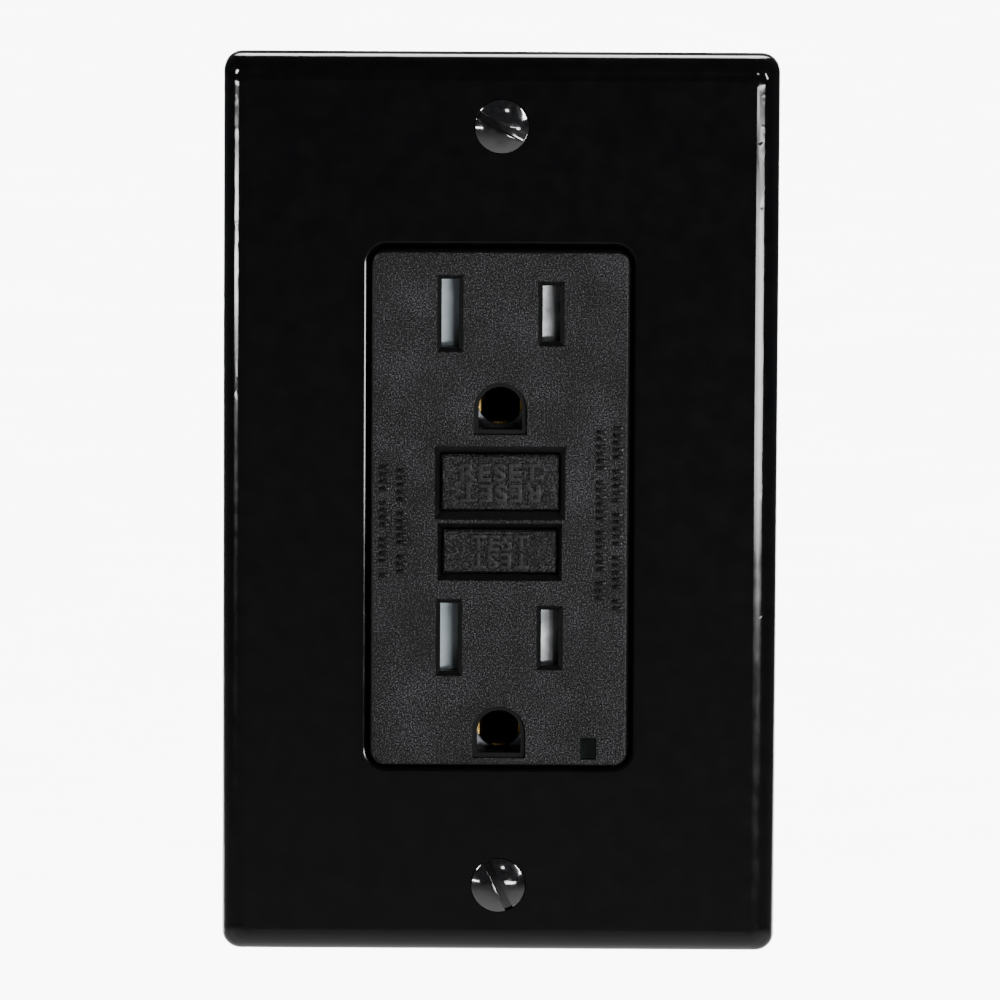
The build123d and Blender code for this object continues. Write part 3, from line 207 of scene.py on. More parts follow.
def cut_slot(mesh, width, floor, turn, radius):
    """Cuts a driver slot across the top of a head, from its floor upwards."""
    blade = bmesh.new()
    bmesh.ops.create_cube(blade, size=1)
    bmesh.ops.scale(blade, vec=(2.4 * radius * MM, width * MM, 2 * MM), verts=blade.verts)
    bmesh.ops.translate(blade, vec=(0, 0, (floor + 1) * MM), verts=blade.verts)
    bmesh.ops.rotate(blade, cent=(0, 0, 0), matrix=Matrix.Rotation(turn, 3, "Z"), verts=blade.verts)
    tool = bpy.data.objects.new("blade", to_mesh(blade, "blade"))
    head = bpy.data.objects.new("head", mesh)
    for thing in (tool, head):
        bpy.context.scene.collection.objects.link(thing)
    cut = head.modifiers.new("slot", "BOOLEAN")
    cut.object = tool
    cut.operation = "DIFFERENCE"
    cut.solver = "EXACT"
    soften = head.modifiers.new("worn edge", "BEVEL")
    soften.width = 0.07 * MM
    soften.segments = 2
    soften.limit_method = "ANGLE"
    soften.angle_limit = math.radians(50)
    bpy.context.view_layer.update()
    cut_mesh = bpy.data.meshes.new_from_object(head.evaluated_get(bpy.context.evaluated_depsgraph_get()))
    bpy.data.objects.remove(head)
    bpy.data.objects.remove(tool)
    return cut_mesh


def screw(outline, slot, thread, at, out):
    """A slotted screw's mesh. Its head faces along out, and height 0 of its outline is at that place."""
    width, floor, turn = slot
    reach = max(point[0] for point in outline)
    mesh = cut_slot(to_mesh(turned(outline), "screw"), width, floor, turn, reach)
    shape = bmesh.new()
    shape.from_mesh(mesh)
    core, crest, pitch, start, end = thread
    add_thread(shape, core, crest, pitch, start, end)
    stand = Vector(out).to_track_quat("Z", "Y").to_matrix()
    bmesh.ops.rotate(shape, cent=(0, 0, 0), matrix=stand, verts=shape.verts)
    bmesh.ops.translate(shape, vec=[value * MM for value in at], verts=shape.verts)
    return shape


def join(shapes):
    """Several bmeshes as one."""
    whole = bmesh.new()
    for shape in shapes:
        part = bpy.data.meshes.new("part")
        shape.to_mesh(part)
        shape.free()
        whole.from_mesh(part)
    return whole


# 32 turns to the inch, on the No. 6 and the No. 8 screws alike.
THREAD_PITCH = 0.794
PLATE_FRONT = -5.6
PLATE_SCREW_Z = 48.42
oval_head = (
    (0, 1.1), (1.0, 1.06), (1.9, 0.85), (2.7, 0.5), (3.25, 0.14), (3.4, 0.05),
    (3.4, -0.05), (1.62, -2.0), (1.42, -2.2), (1.42, -13.0), (0.9, -13.6), (0, -13.6),
)
slot_turns = {PLATE_SCREW_Z: math.radians(-26), -PLATE_SCREW_Z: math.radians(-65)}
screws = [
    screw(
        oval_head, (1.05, -0.3, turn), (1.42, 1.7, THREAD_PITCH, -13.0, -3.4),
        (0, PLATE_FRONT, z), (0, -1, 0),
    )
    for z, turn in slot_turns.items()
]
link_piece(
    "plate_screws_slotted", to_mesh(join(screws), "plate_screws"), enamel(), "receptacle",
    ["plate_screws"],
)


# Front cover: the face that stands through the plate, moulded in black nylon in a tool whose steel
# was spark-eroded, so its front has fine pits, with painted glints at their peaks. Its small raised marks
# are blank.
PAINTED_GLINT_START = 0.64
PAINTED_GLINT_FULL = 0.86
EDGE_MARGIN = 0.06


def grain_and_painted_glints(name, dark, light, roughness, grain, depth, front=None):
    """Matte moulded plastic, eroded to fine pits, with painted glints: the base colour turns light at the
    pits' peaks. Behind a front, in mm, it stays smooth, without pits or painted glints.
    """
    material, tree, shader, place = new_finish(name, dark, roughness, specular=0.2)
    pits = add(
        tree, "ShaderNodeTexNoise",
        {"Vector": place, "Scale": per(grain), "Detail": 1, "Roughness": 0.6},
    )
    cloud = add(tree, "ShaderNodeTexNoise", {"Vector": place, "Scale": per(7), "Detail": 4})
    soft = add(tree, "ShaderNodeMath", {0: cloud.outputs["Fac"], 1: 0.25}, operation="MULTIPLY")
    tone = add(tree, "ShaderNodeMath", {0: pits.outputs["Fac"], 1: soft.outputs[0]}, operation="ADD")
    peaks = add(
        tree, "ShaderNodeMapRange",
        {"Value": tone.outputs[0], "From Min": PAINTED_GLINT_START, "From Max": PAINTED_GLINT_FULL},
    )
    painted_glints = peaks.outputs["Result"]
    rise = pits.outputs["Fac"]
    if front is not None:
        depths = add(tree, "ShaderNodeSeparateXYZ", {"Vector": place}).outputs["Y"]
        limit = (front + EDGE_MARGIN) * MM
        face = add(tree, "ShaderNodeMath", {0: depths, 1: limit}, operation="LESS_THAN")
        kept = add(tree, "ShaderNodeMath", {0: painted_glints, 1: face.outputs[0]}, operation="MULTIPLY")
        flat = add(tree, "ShaderNodeMath", {0: rise, 1: face.outputs[0]}, operation="MULTIPLY")
        painted_glints = kept.outputs[0]
        rise = flat.outputs[0]
    # Painted glints: the base colour turns light where the grain peaks.
    ramp = add(tree, "ShaderNodeMix", {"Factor": painted_glints}, data_type="RGBA")
    ramp.inputs[6].default_value = linear(dark)
    ramp.inputs[7].default_value = linear(light)
    tree.links.new(ramp.outputs[2], shader.inputs["Base Color"])
    vary(tree, shader.inputs["Roughness"], pits.outputs["Fac"], roughness - 0.08, roughness + 0.12)
    emboss(tree, shader, rise, depth, 0.8)
    return material


FACE_FRONT = -7.0
# The face's light specks are painted glints over the real bumped grain.
face_grain_and_painted_glints = grain_and_painted_glints("spark_grained_plastic_painted_glints", "#050506", "#48484B", 0.4, 0.2, 0.12, FACE_FRONT)
paint(face_grain_and_painted_glints, "front_cover")

TICK_WIDTH = 1.25
TICK_LENGTH = 0.5
TICK_STEP = 0.92
TICK_RISE = 0.2
TICK_ROUND = 0.05
marks = bmesh.new()
tick_columns = (
    # middle, upper end, how many, every how many a gap
    (-14.55, 5.3, 16, 5),
    (-12.35, 4.9, 15, 6),
    (12.75, 9.9, 24, 7),
    (14.85, 10.4, 26, 6),
)
for column_x, top_z, count, gap in tick_columns:
    for number in range(count):
        if number % gap == gap - 1:
            continue
        tick = bmesh.ops.create_cube(marks, size=1)["verts"]
        bmesh.ops.scale(marks, vec=(TICK_WIDTH * MM, 2 * TICK_RISE * MM, TICK_LENGTH * MM), verts=tick)
        spot = (column_x * MM, FACE_FRONT * MM, (top_z - number * TICK_STEP) * MM)
        bmesh.ops.translate(marks, vec=spot, verts=tick)
bmesh.ops.bevel(
    marks,
    geom=list(marks.edges),
    offset=TICK_ROUND * MM,
    segments=2,
    profile=0.5,
    affect="EDGES",
    material=-1,
)
# The marks carry dimmer painted glints than the face, so they read darker: painted shade.
mark_finish = grain_and_painted_glints("mark_tops_painted_shade_and_glints", "#060607", "#1C1C1E", 0.28, 0.25, 0.03)
link_piece("face_marks", to_mesh(marks, "face_marks"), mark_finish, "receptacle")


# Buttons: black acetal keys in sloped windows, with raised words that read from above and below.
# Fingers polish the faces and the tops of the letters a little. The keys carry painted glints, and the
# letters are painted lighter than the keys, a painted highlight.
def moulded(name, dark, light, roughness, flow=6, grain=0.4):
    """Plain moulded plastic: faint flow marks in the tone and a fine skin."""
    material, tree, shader, place = new_finish(name, dark, roughness)
    flows = add(
        tree, "ShaderNodeTexNoise", {"Vector": place, "Scale": per(flow), "Detail": 3, "Distortion": 1.2}
    )
    skin = add(tree, "ShaderNodeTexNoise", {"Vector": place, "Scale": per(grain), "Detail": 2})
    vary(tree, shader.inputs["Base Color"], flows.outputs["Fac"], dark, light)
    vary(tree, shader.inputs["Roughness"], skin.outputs["Fac"], roughness - 0.05, roughness + 0.06)
    emboss(tree, shader, skin.outputs["Fac"], 0.02, 0.4)
    return material


# The keys' light specks are painted glints; the letters' lighter colour is a painted highlight.
acetal = grain_and_painted_glints("satin_acetal_painted_glints", "#060607", "#38383A", 0.34, 0.2, 0.08)
letter_acetal_painted_highlight = moulded("rubbed_letters_painted_highlight", "#141415", "#202022", 0.28)
paint(acetal, "reset_button", "test_button")
BUTTON_FRONT = -6.5
RESET_Z = 3.3
TEST_Z = -5.5
LETTER_RISE = 0.24


def raised_words(word, width, height, middle_z, spread):
    """One word above its own copy turned half round, standing on a button's face."""
    curve = bpy.data.curves.new(word, "FONT")
    curve.body = word
    curve.align_x = "CENTER"
    curve.extrude = 0.09
    curve.offset = 0.012
    curve.bevel_depth = 0.014
    curve.resolution_u = 4
    curve.space_character = 1.12
    source = bpy.data.objects.new(word, curve)
    bpy.context.scene.collection.objects.link(source)
    bpy.context.view_layer.update()
    flat = bpy.data.meshes.new_from_object(source.evaluated_get(bpy.context.evaluated_depsgraph_get()))
    bpy.data.objects.remove(source)
    words = bmesh.new()
    words.from_mesh(flat)
    low = [min(vert.co[axis] for vert in words.verts) for axis in range(3)]
    high = [max(vert.co[axis] for vert in words.verts) for axis in range(3)]
    size = (width, height, 2 * LETTER_RISE)
    bmesh.ops.translate(words, vec=[-(low[axis] + high[axis]) / 2 for axis in range(3)], verts=words.verts)
    bmesh.ops.scale(
        words, vec=[size[axis] * MM / (high[axis] - low[axis]) for axis in range(3)], verts=words.verts
    )
    bmesh.ops.rotate(words, cent=(0, 0, 0), matrix=Matrix.Rotation(math.pi / 2, 3, "X"), verts=words.verts)
    bmesh.ops.translate(words, vec=(0, 0, spread * MM), verts=words.verts)
    everything = list(words.verts) + list(words.edges) + list(words.faces)
    copy = bmesh.ops.duplicate(words, geom=everything)["geom"]
    copied = [item for item in copy if isinstance(item, bmesh.types.BMVert)]
    bmesh.ops.rotate(words, cent=(0, 0, 0), matrix=Matrix.Rotation(math.pi, 3, "Y"), verts=copied)
    bmesh.ops.translate(words, vec=(0, BUTTON_FRONT * MM, middle_z * MM), verts=words.verts)
    return to_mesh(words, word)


reset_words = raised_words("RESET", 10.2, 2.3, RESET_Z, 1.32)
test_words = raised_words("TEST", 7.3, 2.05, TEST_Z, 1.14)
link_piece("reset_letters", reset_words, letter_acetal_painted_highlight, "reset_key")
link_piece("test_letters", test_words, letter_acetal_painted_highlight, "test_key")


# Indicator: a smoked acrylic light pipe fills the small window, and behind it sits a round lamp
# of milky green resin.
def smoked_acrylic():
    """Polished dark acrylic: it reads as a deep glossy window with a little green in it."""
    material, tree, shader, place = new_finish("smoked_acrylic", "#0A100E", 0.08, specular=0.3)
    depth = add(tree, "ShaderNodeTexNoise", {"Vector": place, "Scale": per(1.5), "Detail": 2})
    vary(tree, shader.inputs["Base Color"], depth.outputs["Fac"], "#060A08", "#0E1613")
    emboss(tree, shader, depth.outputs["Fac"], 0.02, 0.3)
    return material


def diffused_resin():
    """Cast lamp resin filled with chalk: milky green, soft inside, smooth outside."""
    material, tree, shader, place = new_finish("diffused_resin", "#A9C79A", 0.2)
    milk = add(tree, "ShaderNodeTexNoise", {"Vector": place, "Scale": per(0.8), "Detail": 3})
    vary(tree, shader.inputs["Base Color"], milk.outputs["Fac"], "#9DBF8D", "#BFD8B2")
    shader.inputs["Subsurface Weight"].default_value = 0.2
    shader.inputs["Subsurface Radius"].default_value = (0.0006, 0.0008, 0.0005)
    return material


paint(smoked_acrylic(), "light_pipe")
paint(diffused_resin(), "status_led")


# Shutters: grey acetal slides in black trays. A stainless strip takes the wear on the hot side,
# and thin wire springs push the slides shut.
def rolled(name, dark, light, roughness, along, line=0.12, metallic=1.0):
    """Rolled strip metal: fine lines along the rolling direction, wiped patches and dull spots."""
    material, tree, shader, place = new_finish(name, dark, roughness, metallic)
    stretch = [1 if axis != along else 0.04 for axis in range(3)]
    drawn = add(tree, "ShaderNodeMapping", {"Vector": place, "Scale": stretch})
    lines = add(
        tree, "ShaderNodeTexNoise", {"Vector": drawn.outputs["Vector"], "Scale": per(line), "Detail": 3}
    )
    stain = add(tree, "ShaderNodeTexNoise", {"Vector": place, "Scale": per(3.5), "Detail": 4})
    vary(tree, shader.inputs["Base Color"], stain.outputs["Fac"], dark, light)
    vary(tree, shader.inputs["Roughness"], lines.outputs["Fac"], roughness - 0.1, roughness + 0.1)
    emboss(tree, shader, lines.outputs["Fac"], 0.01, 0.5)
    return material


paint(moulded("grey_acetal", "#B4C1C8", "#C6D1D6", 0.4), "upper_shutter", "lower_shutter")
paint(moulded("black_tray_plastic", "#161617", "#1E1E20", 0.5), "shutter_trays")
stainless = rolled("wiped_stainless", "#85898C", "#E4E6E8", 0.42, 2, 0.3, metallic=0.7)
paint(stainless, "upper_shutter_facing", "lower_shutter_facing")


def wound(start, direction, length, radius, wire, turns, steps=22):
    """A spring of round wire. It starts at a point and winds along a direction, in millimetres."""
    shape = bmesh.new()
    ring = bmesh.ops.create_circle(shape, cap_ends=True, radius=wire * MM, segments=10)["verts"]
    bmesh.ops.rotate(shape, cent=(0, 0, 0), matrix=Matrix.Rotation(math.pi / 2, 3, "X"), verts=ring)
    bmesh.ops.translate(shape, vec=(radius * MM, 0, 0), verts=ring)
    count = round(turns * steps)
    bmesh.ops.spin(
        shape,
        geom=list(shape.faces),
        cent=(0, 0, 0),
        axis=(0, 0, 1),
        dvec=(0, 0, length * MM / count),
        angle=turns * math.tau,
        steps=count,
    )
    stand = Vector(direction).to_track_quat("Z", "Y").to_matrix()
    bmesh.ops.rotate(shape, cent=(0, 0, 0), matrix=stand, verts=shape.verts)
    bmesh.ops.translate(shape, vec=[value * MM for value in start], verts=shape.verts)
    return shape


def spring_wire():
    """Drawn music wire: bright, with die lines along it and an oil-dulled tone."""
    material, tree, shader, place = new_finish("music_wire", "#85868A", 0.28, 1.0)
    oil = add(tree, "ShaderNodeTexNoise", {"Vector": place, "Scale": per(0.7), "Detail": 4})
    vary(tree, shader.inputs["Base Color"], oil.outputs["Fac"], "#6F7074", "#9C9DA1")
    vary(tree, shader.inputs["Roughness"], oil.outputs["Fac"], 0.2, 0.38)
    return material


wire_finish = spring_wire()
SOLENOID_Y = 17.3
LATCH_Y = 16.6
springs = {
    # CAD node: (start, direction, length, coil radius, wire radius, turns, body, joint, stroke)
    "reset_spring": ((0, -0.6, RESET_Z), (0, 1, 0), 8.2, 1.85, 0.25, 7, "receptacle", "reset_press", 2.0),
    "latch_spring": ((0, LATCH_Y, -6.4), (0, 0, 1), 3.2, 0.9, 0.12, 6, "carrier", "latch_release", 1.25),
    "plunger_spring": (
        (0, SOLENOID_Y, 28.8), (0, 0, 1), 1.6, 2.45, 0.14, 3, "receptacle", "plunger_stroke", 1.25
    ),
    "upper_shutter_spring": (
        (-13.3, -3.7, 24.85), (1, 0, 0), 4.7, 0.6, 0.1, 9, "receptacle", "upper_shutter_slide", 3.0
    ),
    "lower_shutter_spring": (
        (-13.3, -3.7, -16.45), (1, 0, 0), 4.7, 0.6, 0.1, 9, "receptacle", "lower_shutter_slide", 3.0
    ),
}
for node_name, (start, direction, length, radius, wire, turns, body, joint, stroke) in springs.items():
    coil = link_piece(
        f"{node_name}_wound",
        to_mesh(wound(start, direction, length, radius, wire, turns), node_name),
        wire_finish, body, [node_name],
    )
    seat = Vector(start) * MM
    if node_name == "reset_spring":
        seat += Vector(direction) * length * MM
    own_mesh(coil)
paint(wire_finish, "reset_pin")


# Mounting strap: one steel stamping with bright zinc plate, shown at the plate's edge and behind.
# Plating leaves a cool grey with a fine cloudy bloom.
def zinc_plate(name, dark, light, roughness):
    """Bright zinc on stamped steel: cool grey and cloudy, with a fine bloom."""
    material, tree, shader, place = new_finish(name, dark, roughness, 1.0)
    bloom = add(tree, "ShaderNodeTexNoise", {"Vector": place, "Scale": per(0.9), "Detail": 3})
    cloud = add(tree, "ShaderNodeTexNoise", {"Vector": place, "Scale": per(5), "Detail": 5})
    vary(tree, shader.inputs["Base Color"], cloud.outputs["Fac"], dark, light)
    vary(tree, shader.inputs["Roughness"], bloom.outputs["Fac"], roughness - 0.06, roughness + 0.1)
    emboss(tree, shader, bloom.outputs["Fac"], 0.01, 0.4)
    return material


zinc = zinc_plate("bright_zinc", "#9A9DA3", "#B9BCC1", 0.32)
paint(zinc, "mounting_strap", "assembly_screws", "latch_plate", "solenoid_frame")


# Ground contacts and face contacts: stamped and bent brass strip, riveted or dropped into their
# channels. Phosphor bronze, redder than brass, makes the parts that flex.
brass = rolled("rolled_brass", "#B08D4C", "#C9A963", 0.3, 2)
bronze = rolled("phosphor_bronze", "#A06A45", "#B98158", 0.32, 2)
copper = rolled("bare_copper", "#A9603F", "#C27A55", 0.3, 2)
silver = rolled("silver_contact", "#BDBBB4", "#D6D4CE", 0.25, 0)
paint(brass, "ground_contacts", "contact_rivets", "hot_face_contact", "neutral_face_contact")
paint(bronze, "hot_contact_arm", "neutral_contact_arm")
paint(copper, "line_conductors")
paint(silver, "fixed_contacts", "arm_contacts")

leaf = bmesh.new()
foot = bmesh.ops.create_cube(leaf, size=1)["verts"]
bmesh.ops.scale(leaf, vec=(6.4 * MM, 0.4 * MM, 5.2 * MM), verts=foot)
bmesh.ops.translate(leaf, vec=(0, 4.4 * MM, TEST_Z * MM), verts=foot)
tongue = bmesh.ops.create_cube(leaf, size=1)["verts"]
bmesh.ops.scale(leaf, vec=(2.4 * MM, 0.4 * MM, 4.9 * MM), verts=tongue)
bmesh.ops.rotate(leaf, cent=(0, 0, 0), matrix=Matrix.Rotation(math.radians(52), 3, "X"), verts=tongue)
bmesh.ops.translate(leaf, vec=(0, 2.3 * MM, (TEST_Z - 0.8) * MM), verts=tongue)
bmesh.ops.bevel(
    leaf, geom=list(leaf.edges), offset=0.06 * MM, segments=2, profile=0.5, affect="EDGES", material=-1
)
test_leaf = link_piece(
    "test_leaf_bent", to_mesh(leaf, "test_leaf"), bronze, "receptacle", ["test_leaf_spring"]
)
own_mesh(test_leaf)


# Box screws: long zinc-plated machine screws for the box's ears, held in the strap by squares of
# red fibre that their threads have been pushed through.
def vulcanised_fibre():
    """Red vulcanised fibre: dull, matted, slightly furry at its punched edges."""
    material, tree, shader, place = new_finish("red_fibre", "#8C2A20", 0.75)
    matted = add(tree, "ShaderNodeTexNoise", {"Vector": place, "Scale": per(0.25), "Detail": 6})
    vary(tree, shader.inputs["Base Color"], matted.outputs["Fac"], "#7C231B", "#9E372B")
    emboss(tree, shader, matted.outputs["Fac"], 0.04, 0.8)
    return material


paint(vulcanised_fibre(), "screw_retainers")
BOX_SCREW_Z = 41.67
BOX_HEAD_REAR = -1.35
pan_head = (
    (0, 1.7), (0.8, 1.69), (1.7, 1.6), (2.4, 1.4), (3.0, 1.0), (3.3, 0.55), (3.3, 0),
    (1.5, 0), (1.5, -2.3), (1.42, -2.4), (1.42, -30.3), (0.9, -31.7), (0, -31.75),
)
box_screws = [
    screw(
        pan_head, (1.0, 0.95, math.pi / 2 * (z > 0)), (1.42, 1.75, THREAD_PITCH, -30.6, -2.3),
        (0, BOX_HEAD_REAR, z), (0, -1, 0),
    )
    for z in (BOX_SCREW_Z, -BOX_SCREW_Z)
]
link_piece("box_screws_threaded", to_mesh(join(box_screws), "box_screws"), zinc, "receptacle",
           ["box_screws"])


# Ground screw and terminal screws: slotted binding screws. Green dye on the plating marks the
# ground, plain brass the hot side, and nickel the neutral side.
def dyed_plate():
    """Green chromate dye over zinc: a clear coat of colour on bright metal, thin on the edges."""
    material, tree, shader, place = new_finish("green_dyed_plate", "#1E6B3A", 0.3, 0.85)
    dye = add(tree, "ShaderNodeTexNoise", {"Vector": place, "Scale": per(1.2), "Detail": 5})
    vary(tree, shader.inputs["Base Color"], dye.outputs["Fac"], "#175C30", "#2F8550")
    vary(tree, shader.inputs["Roughness"], dye.outputs["Fac"], 0.24, 0.4)
    return material


def binding_outline(head_height, head_radius, core, length):
    """A binding head with a rounded rim over a plain core, with height 0 under the head."""
    return (
        (0, head_height), (head_radius * 0.6, head_height), (head_radius * 0.87, head_height - 0.25),
        (head_radius, head_height - 0.8), (head_radius, 0), (core, 0), (core, -length + 0.4),
        (core - 0.4, -length), (0, -length),
    )


nickel = rolled("nickel_plate", "#A3A09A", "#BDBAB3", 0.25, 2)
GROUND_PITCH = 0.9
GROUND_AT = (19.6, 5.5, -40.0)
BINDING_SLOT = (1.1, 1.3, 0)
ground = screw(
    binding_outline(2.4, 3.8, 1.6, 5.6), BINDING_SLOT, (1.6, 1.93, GROUND_PITCH, -5.5, -0.1),
    GROUND_AT, (1, 0, 0),
)
link_piece("ground_screw_threaded", to_mesh(ground, "ground_screw"), dyed_plate(), "ground_terminal",
           ["ground_screw"])

TERMINAL_Y = 16.6
TERMINAL_Z = 21.1
TERMINAL_HEAD_X = 18.25
terminals = {
    "line_hot": (1, -1), "line_neutral": (-1, -1), "load_hot": (1, 1), "load_neutral": (-1, 1),
}
for terminal_name, (side, end) in terminals.items():
    metal, slot_name = (brass, "brass") if side > 0 else (nickel, "nickel_screw")
    shape = screw(
        binding_outline(2.6, 4.0, 1.75, 6.0), BINDING_SLOT, (1.75, 2.08, THREAD_PITCH, -5.9, -0.1),
        (side * TERMINAL_HEAD_X, TERMINAL_Y, end * TERMINAL_Z), (side, 0, 0),
    )
    link_piece(f"{terminal_name}_screw_threaded", to_mesh(shape, terminal_name), metal,
               f"{terminal_name}_turning", [f"{terminal_name}_screw"])
    paint(brass, f"{terminal_name}_terminal")
    paint(zinc, f"{terminal_name}_clamp")


# Housings: the grey middle block that holds the contacts, and the black shell that closes the back.
# Both are glass-filled nylon with a dry, slightly swirled skin; the black shell carries painted glints.
paint(moulded("grey_filled_nylon", "#3A3B3D", "#48494C", 0.55, flow=8), "middle_housing")
# The black shell's light specks are painted glints.
paint(grain_and_painted_glints("black_filled_nylon_painted_glints", "#171718", "#2F2F31", 0.52, 0.35, 0.05), "back_housing")


# Mechanism: a carrier and a bobbin of natural nylon, a ground steel plunger, and a coil of
# enamelled wire wound row on row.
def natural_nylon():
    """Unfilled nylon: waxy off-white that lets a little light in."""
    material, tree, shader, place = new_finish("natural_nylon", "#D9D3C2", 0.42)
    wax = add(tree, "ShaderNodeTexNoise", {"Vector": place, "Scale": per(3), "Detail": 3})
    vary(tree, shader.inputs["Base Color"], wax.outputs["Fac"], "#D2CBB8", "#E2DDCF")
    emboss(tree, shader, wax.outputs["Fac"], 0.02, 0.3)
    shader.inputs["Subsurface Weight"].default_value = 0.15
    shader.inputs["Subsurface Radius"].default_value = (0.0008, 0.0006, 0.0005)
    return material


paint(natural_nylon(), "contact_carrier", "solenoid_bobbin", "transformer_housing")
paint(rolled("ground_steel", "#8E9196", "#A8ABB0", 0.24, 2), "solenoid_plunger")


def enamelled_wire():
    """Magnet wire under polyurethane enamel: dark amber over copper, glossy on each turn."""
    material, tree, shader, place = new_finish("magnet_wire", "#8A3F1D", 0.25, 0.8)
    tone = add(tree, "ShaderNodeTexNoise", {"Vector": place, "Scale": per(1.0), "Detail": 4})
    vary(tree, shader.inputs["Base Color"], tone.outputs["Fac"], "#7A3416", "#A4552C")
    shader.inputs["Coat Weight"].default_value = 0.6
    shader.inputs["Coat Roughness"].default_value = 0.1
    return material


magnet_wire = enamelled_wire()
COIL_LOW, COIL_HIGH = 18.4, 26.7
COIL_INNER = 2.97
COIL_OUTER = 4.16
WIRE_PITCH = 0.28
WIRE_SWELL = 0.14
rows = int((COIL_HIGH - COIL_LOW) / WIRE_PITCH)
coil_outline = [(COIL_INNER, COIL_LOW)]
for row in range(rows):
    row_low = COIL_LOW + row * WIRE_PITCH
    for step in range(5):
        turn = math.pi * step / 4
        height = row_low + WIRE_PITCH * (1 - math.cos(turn)) / 2
        coil_outline.append((COIL_OUTER + WIRE_SWELL * math.sin(turn), height))
coil_outline += [(COIL_INNER, COIL_LOW + rows * WIRE_PITCH), (COIL_INNER, COIL_LOW)]
winding = turned(coil_outline, 40)
bmesh.ops.translate(winding, vec=(0, SOLENOID_Y * MM, 0), verts=winding.verts)
link_piece("solenoid_winding", to_mesh(winding, "winding"), magnet_wire, "receptacle",
           ["solenoid_coil"])


# Transformer: two tape-covered rings side by side, each wound with fine wire over its whole
# length.
def polyester_tape():
    """Yellow polyester tape in overlapping wraps: glossy film with faint creases."""
    material, tree, shader, place = new_finish("polyester_tape", "#C9A13A", 0.3)
    crease = add(tree, "ShaderNodeTexNoise", {"Vector": place, "Scale": per(1.4), "Distortion": 2})
    vary(tree, shader.inputs["Base Color"], crease.outputs["Fac"], "#BC9330", "#D8B455")
    emboss(tree, shader, crease.outputs["Fac"], 0.03, 0.5)
    return material


RING_MIDDLE_Z = -23.0
RING_OUTER, RING_INNER = 7.1, 3.7
RING_HALF_WIDTH = 1.3
RING_TAPE = 0.3
RING_TURNS = 54
LOOP_RADIUS = 1.55
FINE_WIRE = 0.11
taped_rings = bmesh.new()
windings = bmesh.new()
for ring_middle_y in (16.35, 20.05):
    core = turned(
        [(RING_INNER + RING_TAPE, -RING_HALF_WIDTH), (RING_OUTER - RING_TAPE, -RING_HALF_WIDTH),
         (RING_OUTER - RING_TAPE, RING_HALF_WIDTH), (RING_INNER + RING_TAPE, RING_HALF_WIDTH),
         (RING_INNER + RING_TAPE, -RING_HALF_WIDTH)],
    )
    loop = turned(
        [(LOOP_RADIUS + FINE_WIRE * math.cos(math.tau * step / 6), FINE_WIRE * math.sin(math.tau * step / 6))
         for step in range(7)],
        14,
    )
    upright = Matrix.Rotation(math.pi / 2, 3, "X")
    bmesh.ops.rotate(loop, cent=(0, 0, 0), matrix=upright, verts=loop.verts)
    bmesh.ops.translate(loop, vec=((RING_OUTER + RING_INNER) / 2 * MM, 0, 0), verts=loop.verts)
    one_turn = bpy.data.meshes.new("turn")
    loop.to_mesh(one_turn)
    loop.free()
    ring = bmesh.new()
    for count in range(RING_TURNS):
        known = len(ring.verts)
        ring.from_mesh(one_turn)
        ring.verts.ensure_lookup_table()
        spot = Matrix.Rotation(math.tau * count / RING_TURNS, 3, "Z")
        bmesh.ops.rotate(ring, cent=(0, 0, 0), matrix=spot, verts=ring.verts[known:])
    for shape, whole in ((core, taped_rings), (ring, windings)):
        bmesh.ops.rotate(shape, cent=(0, 0, 0), matrix=upright, verts=shape.verts)
        bmesh.ops.translate(shape, vec=(0, ring_middle_y * MM, RING_MIDDLE_Z * MM), verts=shape.verts)
        part = bpy.data.meshes.new("part")
        shape.to_mesh(part)
        shape.free()
        whole.from_mesh(part)
link_piece("transformer_rings", to_mesh(taped_rings, "rings"), polyester_tape(), "receptacle",
           ["transformer_cores"])
link_piece("transformer_windings", to_mesh(windings, "windings"), magnet_wire, "receptacle")


# Circuit board and its parts: glass laminate under green solder mask, a dipped disc, moulded
# epoxy packages and banded resistors.
def solder_mask():
    """Green mask over copper tracks: glossy, with the tracks showing as a lighter pattern."""
    material, tree, shader, place = new_finish("solder_mask", "#14502A", 0.3)
    tracks = add(
        tree, "ShaderNodeTexBrick",
        {"Vector": place, "Color1": linear("#124A27"), "Color2": linear("#155A2E"),
         "Mortar": linear("#2C7F48"), "Scale": per(9), "Mortar Size": 0.03},
    )
    tree.links.new(tracks.outputs["Color"], shader.inputs["Base Color"])
    weave = add(tree, "ShaderNodeTexNoise", {"Vector": place, "Scale": per(0.5), "Detail": 2})
    emboss(tree, shader, weave.outputs["Fac"], 0.02, 0.3)
    return material


def banded_lacquer():
    """Tan resistor lacquer with painted colour rings along the body."""
    material, tree, shader, place = new_finish("resistor_lacquer", "#B99A6B", 0.35)
    bands = add(
        tree, "ShaderNodeTexWave", {"Vector": place, "Scale": per(7), "Distortion": 0.4}, bands_direction="Z"
    )
    paintwork = add(tree, "ShaderNodeValToRGB", {"Fac": bands.outputs["Fac"]})
    paintwork.color_ramp.interpolation = "CONSTANT"
    paintwork.color_ramp.elements[0].color = linear("#B99A6B")
    paintwork.color_ramp.elements[1].color = linear("#7A2E1F")
    paintwork.color_ramp.elements[1].position = 0.82
    tree.links.new(paintwork.outputs["Color"], shader.inputs["Base Color"])
    return material


